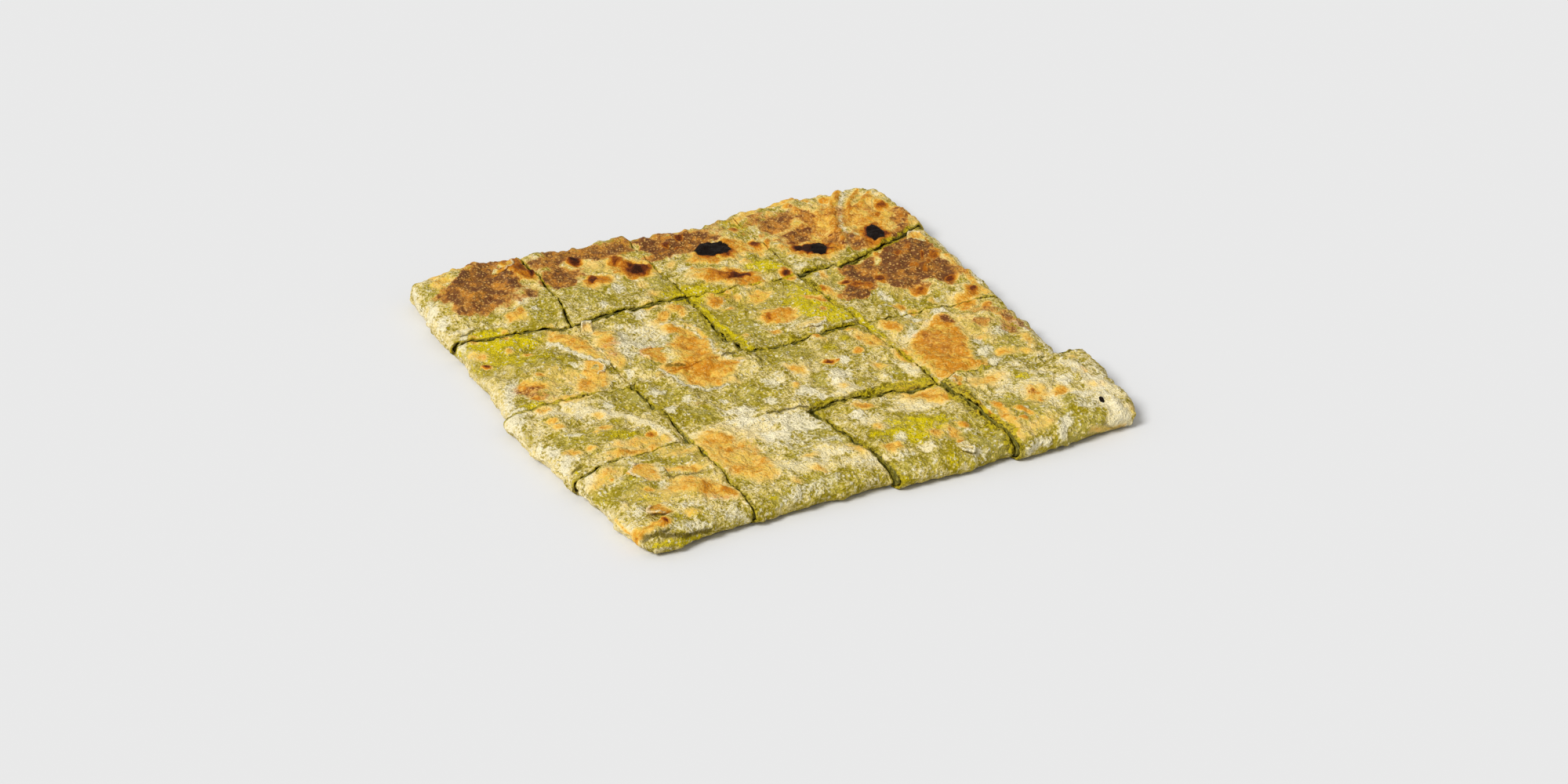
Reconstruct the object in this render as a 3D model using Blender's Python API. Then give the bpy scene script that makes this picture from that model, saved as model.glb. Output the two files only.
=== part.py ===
"""Katmer: thin dough folded over a layer of spinach and cut into sixteen slices that still lie together.

The slices stand in four rows and four columns. A slice at the rim is one dough pocket, closed round
its folded edge and open where the knife went through, and a slice in the middle is a top sheet and a
bottom sheet. The filling is a slab of its own in each slice. Row 1 is the back row and column 1 the
left one. The model is in metres, +Z up, and lies on the plane Z = 0 with its origin under its middle.
"""

import math

import bmesh
import bpy
from mathutils import Vector, noise

MM = 0.001
COLLECTION = "katmer"
CUTTER_COLLECTION = "flakes_to_join"
SLICES_EACH_WAY = 4

# The middle of the finished outline, which becomes the origin, in millimetres of the plan below
MIDDLE = Vector((-0.768, -0.3068))

# Where the knife cuts cross, in millimetres of the plan, as (across, back)
CROSSINGS = {
    (1, 1): (-63.0, 44.0),
    (1, 2): (-9.5, 49.0),
    (1, 3): (40.0, 46.0),
    (2, 1): (-61.0, -8.0),
    (2, 2): (-11.0, -5.0),
    (2, 3): (43.0, -3.0),
    (3, 1): (-60.0, -58.0),
    (3, 2): (-8.5, -57.0),
    (3, 3): (46.0, -60.0),
}

# Where the cuts reach the rim, in millimetres: the row cuts' ends and the column cuts' ends
HALF_SPAN = 109.0
ROW_CUT_ENDS = {1: (58.0, 67.0), 2: (-7.0, -8.0), 3: (-62.0, -60.0)}
COLUMN_CUT_ENDS = {1: (-56.0, -60.0), 2: (-9.0, -1.0), 3: (40.0, 50.0)}

# Where the rim of each slice lies, in millimetres of the plan, at its two ends
LEFT_RIM = {1: (-107.0, -109.0), 2: (-107.0, -112.0), 3: (-114.5, -111.0), 4: (-109.0, -104.5)}
RIGHT_RIM = {1: (109.5, 111.0), 2: (111.0, 106.0), 3: (106.0, 102.0), 4: (113.0, 107.0)}
BACK_RIM = {1: (112.0, 116.0), 2: (115.0, 113.0), 3: (109.5, 111.0), 4: (112.0, 112.5)}
FRONT_RIM = {1: (-118.0, -111.0), 2: (-112.5, -109.5), 3: (-113.5, -111.0), 4: (-115.0, -110.5)}

# Width of each cut from one slice to the next, in millimetres, and how far a curved one bows
ROW_CUT_WIDTHS = {1: (1.2, 2.6, 0.8, 2.0), 2: (1.3, 0.7, 1.7, 0.9), 3: (1.0, 0.7, 2.8, 1.3)}
COLUMN_CUT_WIDTHS = {1: (1.7, 1.0, 1.2, 1.2), 2: (1.0, 1.4, 1.3, 1.5), 3: (0.9, 0.8, 1.0, 4.0)}
ROW_CUT_BOWS = {(1, 2): 1.5, (1, 4): -5.0, (2, 4): 3.0, (3, 3): 2.0}
COLUMN_CUT_BOWS = {(1, 1): 2.0}
CUT_WAVE = 0.5
CUT_WAVE_LENGTH = 17.0
RIM_WAVE = 1.1
RIM_WAVE_LENGTH = 24.0

# Where in the noise each kind of wave starts, so that no two run alike
RIM_SEED = 4.0
RIM_SEED_STEP = 7.0
COLUMN_CUT_SEED = 20.0
ROW_CUT_SEED = 30.0
LUMP_SEED = 1.5
WRINKLE_SEED = 2.5

# Thickness of the whole, of the dough and of the gap between dough and filling
THICKNESS = 10.4
SLICE_RISE = {
    (1, 1): 1.3,
    (1, 2): 0.8,
    (1, 4): 0.5,
    (2, 2): 0.4,
    (3, 4): -0.3,
    (4, 1): 0.3,
    (4, 4): 1.4,
}
LUMP_RISE = 0.9
LUMP_LENGTH = 31.0
WRINKLE_RISE = 0.45
WRINKLE_LENGTH = 11.0
CUT_EDGE_DROP = 0.5
DOUGH = 1.2
FILLING_GAP = 0.35
FILLING_RECESS = 0.3
FOLD_SHARE = 2.5

# The folded rim: its nose, how far the sheet falls towards it, and the radius of its corners
NOSE_DEPTH = 6.5
RIM_DROP = {"left": 1.3, "front": 1.3, "right": 0.6, "back": 0.3}
RIM_REACH = 0.3
CORNER_RADIUS = {(1, 1): 9.0, (1, 4): 12.0, (4, 1): 9.0, (4, 4): 7.5}

# Blisters and folds that stand above the sheet: middle, half length, half width, turn, height
RELIEF = {
    "lifted_lip": ((-66.0, 98.0), 12.0, 6.0, 70.0, 2.6),
    "fold_ridge_back_left": ((-71.0, 78.0), 20.0, 5.0, 95.0, 1.0),
    "blister_dark": ((-28.0, 77.0), 9.0, 6.0, 10.0, 1.1),
    "blister_long": ((3.0, 61.0), 16.0, 5.0, 5.0, 1.3),
    "fold_ridge_back_right": ((72.0, 92.0), 18.0, 4.5, 110.0, 1.4),
    "blister_black": ((43.0, 76.0), 9.0, 6.0, 15.0, 1.0),
    "ridge_left": ((-74.0, 14.0), 24.0, 5.0, -12.0, 1.2),
    "flake_middle": ((-28.0, 0.0), 20.0, 10.0, -30.0, 1.1),
    "flake_right": ((66.0, 19.0), 18.0, 12.0, 60.0, 0.9),
    "fold_front_left": ((-74.0, -90.0), 14.0, 6.0, 15.0, 1.2),
    "lump_front_right": ((78.0, -78.0), 20.0, 12.0, 20.0, 1.0),
}

# Torn flakes and curled flaps of dough that stand up: row, column, where each is rooted in the slice
# as shares across and back, the way it points in degrees, and its length, width and lift
FLAKES = {
    "back_left_lip": (1, 1, 0.74, 0.86, -35.0, 9.0, 12.0, 1.4),
    "upright_flap": (2, 2, 0.06, 0.84, 60.0, 6.5, 7.0, 4.0),
    "middle_flake": (2, 2, 0.5, 0.2, 150.0, 16.0, 15.0, 1.2),
    "rim_flake": (2, 4, 0.84, 0.86, 75.0, 8.0, 9.0, 1.8),
    "torn_edge": (2, 3, 0.66, 0.2, -80.0, 8.0, 14.0, 1.1),
    "golden_flake": (2, 1, 0.72, 0.32, -20.0, 12.0, 11.0, 1.2),
    "front_left_flap": (4, 1, 0.42, 0.3, 195.0, 13.0, 8.0, 1.8),
    "sheet_edge": (4, 1, 0.62, 0.72, 170.0, 16.0, 13.0, 1.1),
    "curled_corner": (4, 4, 0.1, 0.86, 150.0, 7.0, 6.0, 2.2),
    "hanging_flap": (4, 3, 0.62, 0.14, -80.0, 8.0, 5.0, 1.0),
}
FLAKE_THICKNESS = 0.8
FLAKE_ROOT = 0.15
FLAKE_CURL = 0.1
FLAKE_NARROWING = 0.45
FLAKE_FACES = (3, 2)

# Grid of the faces: places along a slice's sides and up its rim, as shares
SIDE_STEPS = (0.05, 0.17, 0.38, 0.62, 0.83, 0.95)
RIM_STEPS = (0.25, 0.5, 0.75)
FILLING_STEPS = (0.5,)

# The way from each side of a slice to its middle, in plan
INWARD = {
    "left": Vector((1.0, 0.0)),
    "right": Vector((-1.0, 0.0)),
    "front": Vector((0.0, 1.0)),
    "back": Vector((0.0, -1.0)),
}

DOUGH_COLOUR = (0.55, 0.46, 0.20, 1.0)
FILLING_COLOUR = (0.16, 0.19, 0.02, 1.0)
DOUGH_ROUGHNESS = 0.6
FILLING_ROUGHNESS = 0.45


def clear_scene():
    """Removes every object, so that the scene holds the model alone."""
    for thing in list(bpy.data.objects):
        bpy.data.objects.remove(thing, do_unlink=True)


def material(name, colour, roughness):
    """A Principled material of one colour."""
    made = bpy.data.materials.new(name)
    made.use_nodes = True
    shader = made.node_tree.nodes["Principled BSDF"]
    shader.inputs["Base Color"].default_value = colour
    shader.inputs["Roughness"].default_value = roughness
    shader.inputs["Metallic"].default_value = 0.0
    return made


def wave(place, length, seed):
    """Smooth noise from about -1 to 1 along a line or over the sheet, the same on every run."""
    return 2.0 * noise.noise(Vector((place[0] / length, place[1] / length, seed)))


def lattice(row_cut, column_cut):
    """Where two cuts cross, or where one reaches the rim; cut 0 is the back or the left rim."""
    if (row_cut, column_cut) in CROSSINGS:
        return Vector(CROSSINGS[row_cut, column_cut])
    across = -HALF_SPAN if column_cut == 0 else HALF_SPAN
    back = HALF_SPAN if row_cut == 0 else -HALF_SPAN
    if row_cut in ROW_CUT_ENDS:
        return Vector((across, ROW_CUT_ENDS[row_cut][0 if column_cut == 0 else 1]))
    if column_cut in COLUMN_CUT_ENDS:
        return Vector((COLUMN_CUT_ENDS[column_cut][0 if row_cut == 0 else 1], back))
    return Vector((across, back))


def cut_straying(axis, place, start, end, bow, seed):
    """How far a cut strays from its straight line beside a place, alike for both of its lips."""
    share = (place[axis] - start[axis]) / (end[axis] - start[axis])
    share = min(1.0, max(0.0, share))
    straying = CUT_WAVE * math.sin(math.pi * share) * wave((place[axis], 0.0), CUT_WAVE_LENGTH, seed)
    return straying + bow * 4.0 * share * (1.0 - share)


def meeting(first, first_way, second, second_way):
    """The point where two lines in the plan meet."""
    across = first_way.x * second_way.y - first_way.y * second_way.x
    gap = second - first
    return first + first_way * ((gap.x * second_way.y - gap.y * second_way.x) / across)


class Slice:
    """The outline and the height of one slice, given as functions of its shares across, back and up."""

    def __init__(self, row, column):
        self.row = row
        self.column = column
        self.rims = {
            "left": column == 1,
            "right": column == SLICES_EACH_WAY,
            "front": row == SLICES_EACH_WAY,
            "back": row == 1,
        }
        self.corners = self.inset_corners()

    def name(self, part):
        """The node's name of one part of this slice."""
        return f"{part}_{self.row}_{self.column}"

    def line_corner(self, right, back):
        """One corner of the slice on the lines that the knife took, or on the rim."""
        column_cut = self.column if right else self.column - 1
        row_cut = self.row - 1 if back else self.row
        across_rim = self.rims["right" if right else "left"]
        back_rim = self.rims["back" if back else "front"]
        rim_across = (RIGHT_RIM if right else LEFT_RIM)[self.row][0 if back else 1]
        rim_back = (BACK_RIM if back else FRONT_RIM)[self.column][1 if right else 0]
        place = lattice(row_cut, column_cut)
        if across_rim and back_rim:
            return Vector((rim_across, rim_back))
        if across_rim:
            inner = lattice(row_cut, column_cut + (-1 if right else 1))
            return inner + (place - inner) * ((rim_across - inner.x) / (place.x - inner.x))
        if back_rim:
            inner = lattice(row_cut + (1 if back else -1), column_cut)
            return inner + (place - inner) * ((rim_back - inner.y) / (place.y - inner.y))
        return place

    def half_cut(self, side):
        """Half the width of the cut along one side of the slice, and none at the rim."""
        if self.rims[side]:
            return 0.0
        if side in ("left", "right"):
            line = self.column if side == "right" else self.column - 1
            return COLUMN_CUT_WIDTHS[line][self.row - 1] / 2.0
        line = self.row if side == "front" else self.row - 1
        return ROW_CUT_WIDTHS[line][self.column - 1] / 2.0

    def inset_corners(self):
        """The four corners, with each cut side moved in by half the width of its cut."""
        raw = {(right, back): self.line_corner(right, back) for right in (0, 1) for back in (0, 1)}
        sides = {
            "left": (raw[0, 0], raw[0, 1]),
            "right": (raw[1, 0], raw[1, 1]),
            "front": (raw[0, 0], raw[1, 0]),
            "back": (raw[0, 1], raw[1, 1]),
        }
        lines = {}
        for side, (start, end) in sides.items():
            way = (end - start).normalized()
            square = Vector((-way.y, way.x))
            if square.dot(INWARD[side]) < 0.0:
                square = -square
            lines[side] = (start + square * self.half_cut(side), way)
        return {
            (right, back): meeting(
                *lines["right" if right else "left"], *lines["back" if back else "front"]
            )
            for right, back in raw
        }

    def side_offset(self, side, place, share):
        """How far a side strays from its straight line, waving alike on both lips of a cut."""
        if self.rims[side]:
            window = math.sin(math.pi * share)
            seed = RIM_SEED + self.row + RIM_SEED_STEP * self.column
            return RIM_WAVE * window * wave(place, RIM_WAVE_LENGTH, seed)
        if side in ("left", "right"):
            line = self.column if side == "right" else self.column - 1
            ends = (lattice(self.row, line), lattice(self.row - 1, line))
            bow = COLUMN_CUT_BOWS.get((line, self.row), 0.0)
            return cut_straying(1, place, *ends, bow, COLUMN_CUT_SEED + line)
        line = self.row if side == "front" else self.row - 1
        ends = (lattice(line, self.column - 1), lattice(line, self.column))
        bow = ROW_CUT_BOWS.get((line, self.column), 0.0)
        return cut_straying(0, place, *ends, bow, ROW_CUT_SEED + line)

    def side_point(self, side, share):
        """A point of one side of the outline, its share running left to right or front to back."""
        ends = {
            "left": ((0, 0), (0, 1)),
            "right": ((1, 0), (1, 1)),
            "front": ((0, 0), (1, 0)),
            "back": ((0, 1), (1, 1)),
        }[side]
        place = self.corners[ends[0]].lerp(self.corners[ends[1]], share)
        offset = self.side_offset(side, place, share)
        if side in ("left", "right"):
            return place + Vector((offset, 0.0))
        return place + Vector((0.0, offset))

    def plan(self, across, back):
        """The point of the sheet at two shares, blended from the four sides."""
        left = self.side_point("left", back)
        right = self.side_point("right", back)
        front = self.side_point("front", across)
        rear = self.side_point("back", across)
        ruled = left.lerp(right, across) + front.lerp(rear, back)
        near = self.corners[0, 0].lerp(self.corners[1, 0], across)
        far = self.corners[0, 1].lerp(self.corners[1, 1], across)
        return ruled - near.lerp(far, back)

    def rounded(self, place, across, back):
        """Draws the outline in where two rims meet, so that the corner becomes an arc."""
        radius = CORNER_RADIUS.get((self.row, self.column))
        if radius is None:
            return place
        rims = [side for side, is_rim in self.rims.items() if is_rim]
        depths = {}
        for side in rims:
            share = back if side in ("left", "right") else across
            depths[side] = (place - self.side_point(side, share)).dot(INWARD[side])
        outward = {side: max(0.0, 1.0 - depth / radius) for side, depth in depths.items()}
        length = math.hypot(*outward.values())
        if min(outward.values()) == 0.0:
            return place
        shrink = max(outward.values()) / length
        for side in rims:
            place = place + INWARD[side] * radius * outward[side] * (1.0 - shrink)
        return place

    def top(self, place, across, back):
        """Height of the upper surface, in millimetres."""
        height = THICKNESS + SLICE_RISE.get((self.row, self.column), 0.0)
        height += LUMP_RISE * wave(place, LUMP_LENGTH, LUMP_SEED)
        height += WRINKLE_RISE * wave(place, WRINKLE_LENGTH, WRINKLE_SEED)
        for middle, length, width, turn, rise in RELIEF.values():
            angle = math.radians(turn)
            away = place - Vector(middle)
            along = away[0] * math.cos(angle) + away[1] * math.sin(angle)
            aside = away[1] * math.cos(angle) - away[0] * math.sin(angle)
            height += rise * math.exp(-((along / length) ** 2) - (aside / width) ** 2)
        for side, share in nearness(across, back).items():
            if self.rims[side]:
                height -= RIM_DROP[side] * max(0.0, 1.0 - (1.0 - share) / RIM_REACH) ** 2
            elif share == 1.0:
                height -= CUT_EDGE_DROP
        return height

    def point(self, across, back, up, inset, recess):
        """The point of the slice's surface at three shares.

        The outer surface has no inset. An inner surface lies an inset inside it, all round the rim
        and under both faces, and the filling also stays back from each cut and from the fold.
        """
        turn = math.pi * (up - 0.5)
        nose = NOSE_DEPTH - (NOSE_DEPTH - inset - FOLD_SHARE * recess) * math.cos(turn)
        shares = (
            self.share_in_outline(across, "left", "right", nose, recess),
            self.share_in_outline(back, "front", "back", nose, recess),
        )
        place = self.rounded(self.plan(*shares), *shares)
        height = self.top(place, across, back)
        level = inset + (height - 2.0 * inset) * (0.5 + 0.5 * math.sin(turn))
        return (place - MIDDLE).to_3d() * MM + Vector((0.0, 0.0, level)) * MM

    def share_in_outline(self, share, start, end, nose, recess):
        """The share in the outline of a share of the sheet, which begins behind the nose of a rim.

        A place on a rim lies as deep as its nose does there, and one on a cut as deep as the recess.
        """
        width = (self.side_point(end, 0.5) - self.side_point(start, 0.5)).length
        if share in (0.0, 1.0):
            depth = nose if self.rims[start if share == 0.0 else end] else recess
            return abs(share - depth / width)
        low = NOSE_DEPTH / width if self.rims[start] else 0.0
        high = 1.0 - NOSE_DEPTH / width if self.rims[end] else 1.0
        return low + (high - low) * share


def nearness(across, back):
    """How near a point lies to each side of its slice, from 1 on the side to 0 on the far one."""
    shares = {"left": 1.0 - across, "right": across, "front": 1.0 - back, "back": back}
    return {side: round(share, 4) for side, share in shares.items()}


def cage(side_steps, rise_steps):
    """A unit cube cut by planes at the given shares across, back and up."""
    mesh = bmesh.new()
    bmesh.ops.create_cube(mesh, size=1.0)
    bmesh.ops.translate(mesh, verts=mesh.verts, vec=(0.5, 0.5, 0.5))
    for axis, steps in ((0, side_steps), (1, side_steps), (2, rise_steps)):
        normal = Vector((0.0, 0.0, 0.0))
        normal[axis] = 1.0
        for step in steps:
            everything = mesh.verts[:] + mesh.edges[:] + mesh.faces[:]
            bmesh.ops.bisect_plane(mesh, geom=everything, plane_co=normal * step, plane_no=normal)
    return mesh


def facing(face):
    """The side of the unit cube that a face of the cage lies on."""
    normal = face.normal
    if abs(normal.z) > 0.5:
        return "top" if normal.z > 0 else "bottom"
    if abs(normal.x) > 0.5:
        return "right" if normal.x > 0 else "left"
    return "back" if normal.y > 0 else "front"


def shaped(keep, rise_steps):
    """The cage with only the wanted sides kept, its faces split alike on every surface."""
    mesh = cage(SIDE_STEPS, rise_steps)
    mesh.normal_update()
    unwanted = [face for face in mesh.faces if facing(face) not in keep]
    bmesh.ops.delete(mesh, geom=unwanted, context="FACES")
    bmesh.ops.triangulate(mesh, faces=mesh.faces[:], quad_method="FIXED")
    return mesh


def move_to_slice(piece, vertices, inset, recess):
    """Moves points of the cage onto a surface of the slice."""
    for vertex in vertices:
        across, back, up = (round(share, 4) for share in vertex.co)
        vertex.co = piece.point(across, back, up, inset, recess)


def add_object(name, mesh, finish, collection):
    """Makes one named object of a bmesh."""
    bmesh.ops.recalc_face_normals(mesh, faces=mesh.faces[:])
    data = bpy.data.meshes.new(name)
    mesh.to_mesh(data)
    mesh.free()
    data.materials.append(finish)
    made = bpy.data.objects.new(name, data)
    collection.objects.link(made)
    return made


def flake_mesh(piece, across, back, turn, length, width, lift):
    """A thin curled flake whose root is sunk in the upper sheet of its slice."""
    mesh = bmesh.new()
    along, beside = FLAKE_FACES
    bmesh.ops.create_grid(mesh, x_segments=along, y_segments=beside, size=0.5)
    drawn = bmesh.ops.extrude_face_region(mesh, geom=mesh.faces[:])["geom"]
    upper = {item for item in drawn if isinstance(item, bmesh.types.BMVert)}
    angle = math.radians(turn)
    ahead = Vector((math.cos(angle), math.sin(angle)))
    aside = Vector((-ahead.y, ahead.x))
    size = (piece.plan(1.0, 0.5) - piece.plan(0.0, 0.5)).length
    for vertex in mesh.verts:
        share = vertex.co.x + 0.5
        reach = share * length * (1.0 - FLAKE_CURL * lift * share)
        spread = vertex.co.y * width * (1.0 - FLAKE_NARROWING * share**2)
        offset = ahead * reach + aside * spread
        base = piece.point(across + offset.x / size, back + offset.y / size, 1.0, 0.0, 0.0)
        level = FLAKE_ROOT + lift * share**2
        if vertex not in upper:
            level -= FLAKE_THICKNESS
        vertex.co = base + Vector((0.0, 0.0, level * MM))
    bmesh.ops.recalc_face_normals(mesh, faces=mesh.faces[:])
    return mesh


def add_flakes(piece, sheet, cutters):
    """Joins the flakes of one slice to its upper sheet."""
    for name, (row, column, *shape) in FLAKES.items():
        if (row, column) != (piece.row, piece.column):
            continue
        data = bpy.data.meshes.new(name)
        mesh = flake_mesh(piece, *shape)
        mesh.to_mesh(data)
        mesh.free()
        flake = bpy.data.objects.new(name, data)
        flake.hide_render = True
        flake.display_type = "WIRE"
        cutters.objects.link(flake)
        joint = sheet.modifiers.new(name, "BOOLEAN")
        joint.operation = "UNION"
        joint.solver = "EXACT"
        joint.object = flake


def add_sheet(piece, part, keep, finish, collection):
    """A sheet of dough: its outer surface, drawn inwards by its thickness with upright cut edges."""
    mesh = shaped(keep, RIM_STEPS)
    outer = mesh.verts[:]
    drawn = bmesh.ops.extrude_face_region(mesh, geom=mesh.faces[:])["geom"]
    inner = [item for item in drawn if isinstance(item, bmesh.types.BMVert)]
    move_to_slice(piece, outer, 0.0, 0.0)
    move_to_slice(piece, inner, DOUGH, 0.0)
    return add_object(piece.name(part), mesh, finish, collection)


def add_dough(piece, finish, collection, cutters):
    """The dough of one slice: a pocket at the rim, or two sheets in the middle."""
    rims = [side for side, is_rim in piece.rims.items() if is_rim]
    if rims:
        upper = add_sheet(piece, "dough", ["top", "bottom"] + rims, finish, collection)
    else:
        upper = add_sheet(piece, "dough_top", ["top"], finish, collection)
        add_sheet(piece, "dough_bottom", ["bottom"], finish, collection)
    add_flakes(piece, upper, cutters)


def add_filling(piece, finish, collection):
    """The slab of filling inside one slice, a little clear of the dough all round."""
    mesh = shaped(["top", "bottom", "left", "right", "front", "back"], FILLING_STEPS)
    move_to_slice(piece, mesh.verts[:], DOUGH + FILLING_GAP, FILLING_RECESS)
    add_object(piece.name("filling"), mesh, finish, collection)


def main():
    """Builds the sixteen slices."""
    clear_scene()
    collection = bpy.data.collections.new(COLLECTION)
    cutters = bpy.data.collections.new(CUTTER_COLLECTION)
    for made in (collection, cutters):
        bpy.context.scene.collection.children.link(made)
    dough = material("baked_dough", DOUGH_COLOUR, DOUGH_ROUGHNESS)
    filling = material("spinach_filling", FILLING_COLOUR, FILLING_ROUGHNESS)
    for row in range(1, SLICES_EACH_WAY + 1):
        for column in range(1, SLICES_EACH_WAY + 1):
            piece = Slice(row, column)
            add_dough(piece, dough, collection, cutters)
            add_filling(piece, filling, collection)


main()
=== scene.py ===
"""Looks of a katmer: sixteen slices of thin baked dough folded round a spinach filling.

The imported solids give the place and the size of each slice. Every slice gets a dense sheet of dough
with its wrinkles, bubbles and toasted spots, and a filling with a rough green face. Row 1 is the back
row and column 1 the left one. Lengths are in millimetres unless a name says otherwise.
"""

import logging
import math
from dataclasses import dataclass, field
from enum import Enum

import bmesh
import bpy
import numpy as np
from mathutils import Matrix, Vector, noise
from mathutils.kdtree import KDTree


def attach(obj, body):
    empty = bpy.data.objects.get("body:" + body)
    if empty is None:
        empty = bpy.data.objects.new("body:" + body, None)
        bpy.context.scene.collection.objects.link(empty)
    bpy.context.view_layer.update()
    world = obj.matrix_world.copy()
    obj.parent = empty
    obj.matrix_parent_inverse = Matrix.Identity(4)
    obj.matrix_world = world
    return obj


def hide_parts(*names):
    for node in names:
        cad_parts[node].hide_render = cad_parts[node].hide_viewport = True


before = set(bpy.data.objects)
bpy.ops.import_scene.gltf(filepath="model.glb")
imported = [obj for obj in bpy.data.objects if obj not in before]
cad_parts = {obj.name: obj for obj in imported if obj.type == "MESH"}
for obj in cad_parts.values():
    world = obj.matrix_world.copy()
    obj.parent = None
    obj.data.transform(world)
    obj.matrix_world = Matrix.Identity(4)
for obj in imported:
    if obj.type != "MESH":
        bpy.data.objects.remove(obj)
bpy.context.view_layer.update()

log = logging.getLogger("katmer")

MM = 0.001
BODY = "root"
SLICES_EACH_WAY = 4

# A divisor that stands in for nought, and a length or pixel that lies past all real ones
TINY = 1e-9
FAR = 1e6

# The middle of the outline in the plan of the cuts below
MIDDLE = np.array((-0.768, -0.3068))

# Where the knife cuts cross, as (across, back)
CROSSINGS = {
    (1, 1): (-63.0, 44.0),
    (1, 2): (-9.5, 49.0),
    (1, 3): (40.0, 46.0),
    (2, 1): (-61.0, -8.0),
    (2, 2): (-11.0, -5.0),
    (2, 3): (43.0, -3.0),
    (3, 1): (-60.0, -58.0),
    (3, 2): (-8.5, -57.0),
    (3, 3): (46.0, -60.0),
}

# Where the cuts reach the rim, and where the rim of each slice lies at its two ends
HALF_SPAN = 109.0
ROW_CUT_ENDS = {1: (58.0, 67.0), 2: (-7.0, -8.0), 3: (-62.0, -60.0)}
COLUMN_CUT_ENDS = {1: (-56.0, -60.0), 2: (-9.0, -1.0), 3: (40.0, 50.0)}
LEFT_RIM = {1: (-107.0, -109.0), 2: (-107.0, -112.0), 3: (-114.5, -111.0), 4: (-109.0, -104.5)}
RIGHT_RIM = {1: (109.5, 111.0), 2: (111.0, 106.0), 3: (106.0, 102.0), 4: (113.0, 107.0)}
BACK_RIM = {1: (112.0, 116.0), 2: (115.0, 113.0), 3: (109.5, 111.0), 4: (112.0, 112.5)}
FRONT_RIM = {1: (-118.0, -111.0), 2: (-112.5, -109.5), 3: (-113.5, -111.0), 4: (-115.0, -110.5)}

# Width of each cut from one slice to the next, and how far a curved one bows
ROW_CUT_WIDTHS = {1: (1.2, 2.6, 0.8, 2.0), 2: (1.3, 0.7, 1.7, 0.9), 3: (1.0, 0.7, 2.8, 1.3)}
COLUMN_CUT_WIDTHS = {1: (1.7, 1.0, 1.2, 1.2), 2: (1.0, 1.4, 1.3, 1.5), 3: (0.9, 0.8, 1.0, 4.0)}
ROW_CUT_BOWS = {(1, 2): 1.5, (1, 4): -5.0, (2, 4): 3.0, (3, 3): 2.0}
COLUMN_CUT_BOWS = {(1, 1): 2.0}

# How far the leaves close each cut again, from one slice to the next: 1 where they touch
ROW_CUT_CLOSING = {1: (1.0, 0.4, 0.95, 0.4), 2: (0.9, 1.0, 0.3, 0.95), 3: (0.4, 1.0, 0.4, 0.9)}
COLUMN_CUT_CLOSING = {1: (0.5, 0.95, 0.4, 0.4), 2: (0.7, 0.3, 0.95, 0.2), 3: (0.97, 0.6, 0.6, 0.75)}

# How wide the filling shows beside each cut, where the knife pulled the dough back
ROW_CUT_BARE = {1: (0.3, 0.7, 0.6, 1.3), 2: (1.0, 0.1, 1.2, 0.4), 3: (0.5, 0.2, 1.7, 0.9)}
COLUMN_CUT_BARE = {1: (0.5, 0.2, 0.8, 0.7), 2: (0.6, 1.4, 0.2, 0.9), 3: (0.15, 1.2, 0.9, 2.4)}

# Below this bare width a cut is closed, and the doughs of its two slices meet
LEAST_BARE = 0.25

# What stands for the distance to a cut in a slice that has no open one
UNCUT = 99.0

# From where to where round a nose its relief dies out, in shares of the nose
NOSE_REST = (0.6, 0.9)

# How far a patch is seen, in half lengths, and how far a line or a shape reaches from its first point
PATCH_REACH = 2.2
LONGEST_MARK = 90.0

# How much each slice stands above or below the rest
SLICE_RISE = {
    (1, 1): 1.3,
    (1, 2): 0.8,
    (1, 4): 0.5,
    (2, 2): 0.4,
    (3, 4): -0.3,
    (4, 1): 0.3,
    (4, 4): 1.4,
}

# How far the sheet falls towards each rim, and the radius of the corner slices
RIM_DROP = {"left": 1.3, "front": 1.3, "right": 0.6, "back": 0.3}
CORNER_RADIUS = {(1, 1): 9.0, (1, 4): 12.0, (4, 1): 9.0, (4, 4): 7.5}

# Blisters and folds that stand above the sheet: middle, half length, half width, turn, height
RELIEF = {
    "lifted_lip": ((-66.0, 98.0), 12.0, 6.0, 70.0, 2.6),
    "fold_ridge_back_left": ((-71.0, 78.0), 20.0, 5.0, 95.0, 1.0),
    "blister_dark": ((-28.0, 77.0), 9.0, 6.0, 10.0, 1.1),
    "blister_long": ((3.0, 61.0), 16.0, 5.0, 5.0, 1.3),
    "fold_ridge_back_right": ((72.0, 92.0), 18.0, 4.5, 110.0, 1.4),
    "blister_black": ((43.0, 76.0), 9.0, 6.0, 15.0, 1.0),
    "ridge_left": ((-74.0, 14.0), 24.0, 5.0, -12.0, 1.2),
    "flake_middle": ((-28.0, 0.0), 20.0, 10.0, -30.0, 1.1),
    "flake_right": ((66.0, 19.0), 18.0, 12.0, 60.0, 0.9),
    "fold_front_left": ((-74.0, -90.0), 14.0, 6.0, 15.0, 1.2),
    "lump_front_right": ((78.0, -78.0), 20.0, 12.0, 20.0, 1.0),
}

# The way from each side of a slice to its middle, in plan
INWARD = {
    "left": np.array((1.0, 0.0)),
    "right": np.array((-1.0, 0.0)),
    "front": np.array((0.0, 1.0)),
    "back": np.array((0.0, -1.0)),
}

# The two axes of the plan, and the sides that each runs between
AXES = ((0, "left", "right"), (1, "front", "back"))


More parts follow.
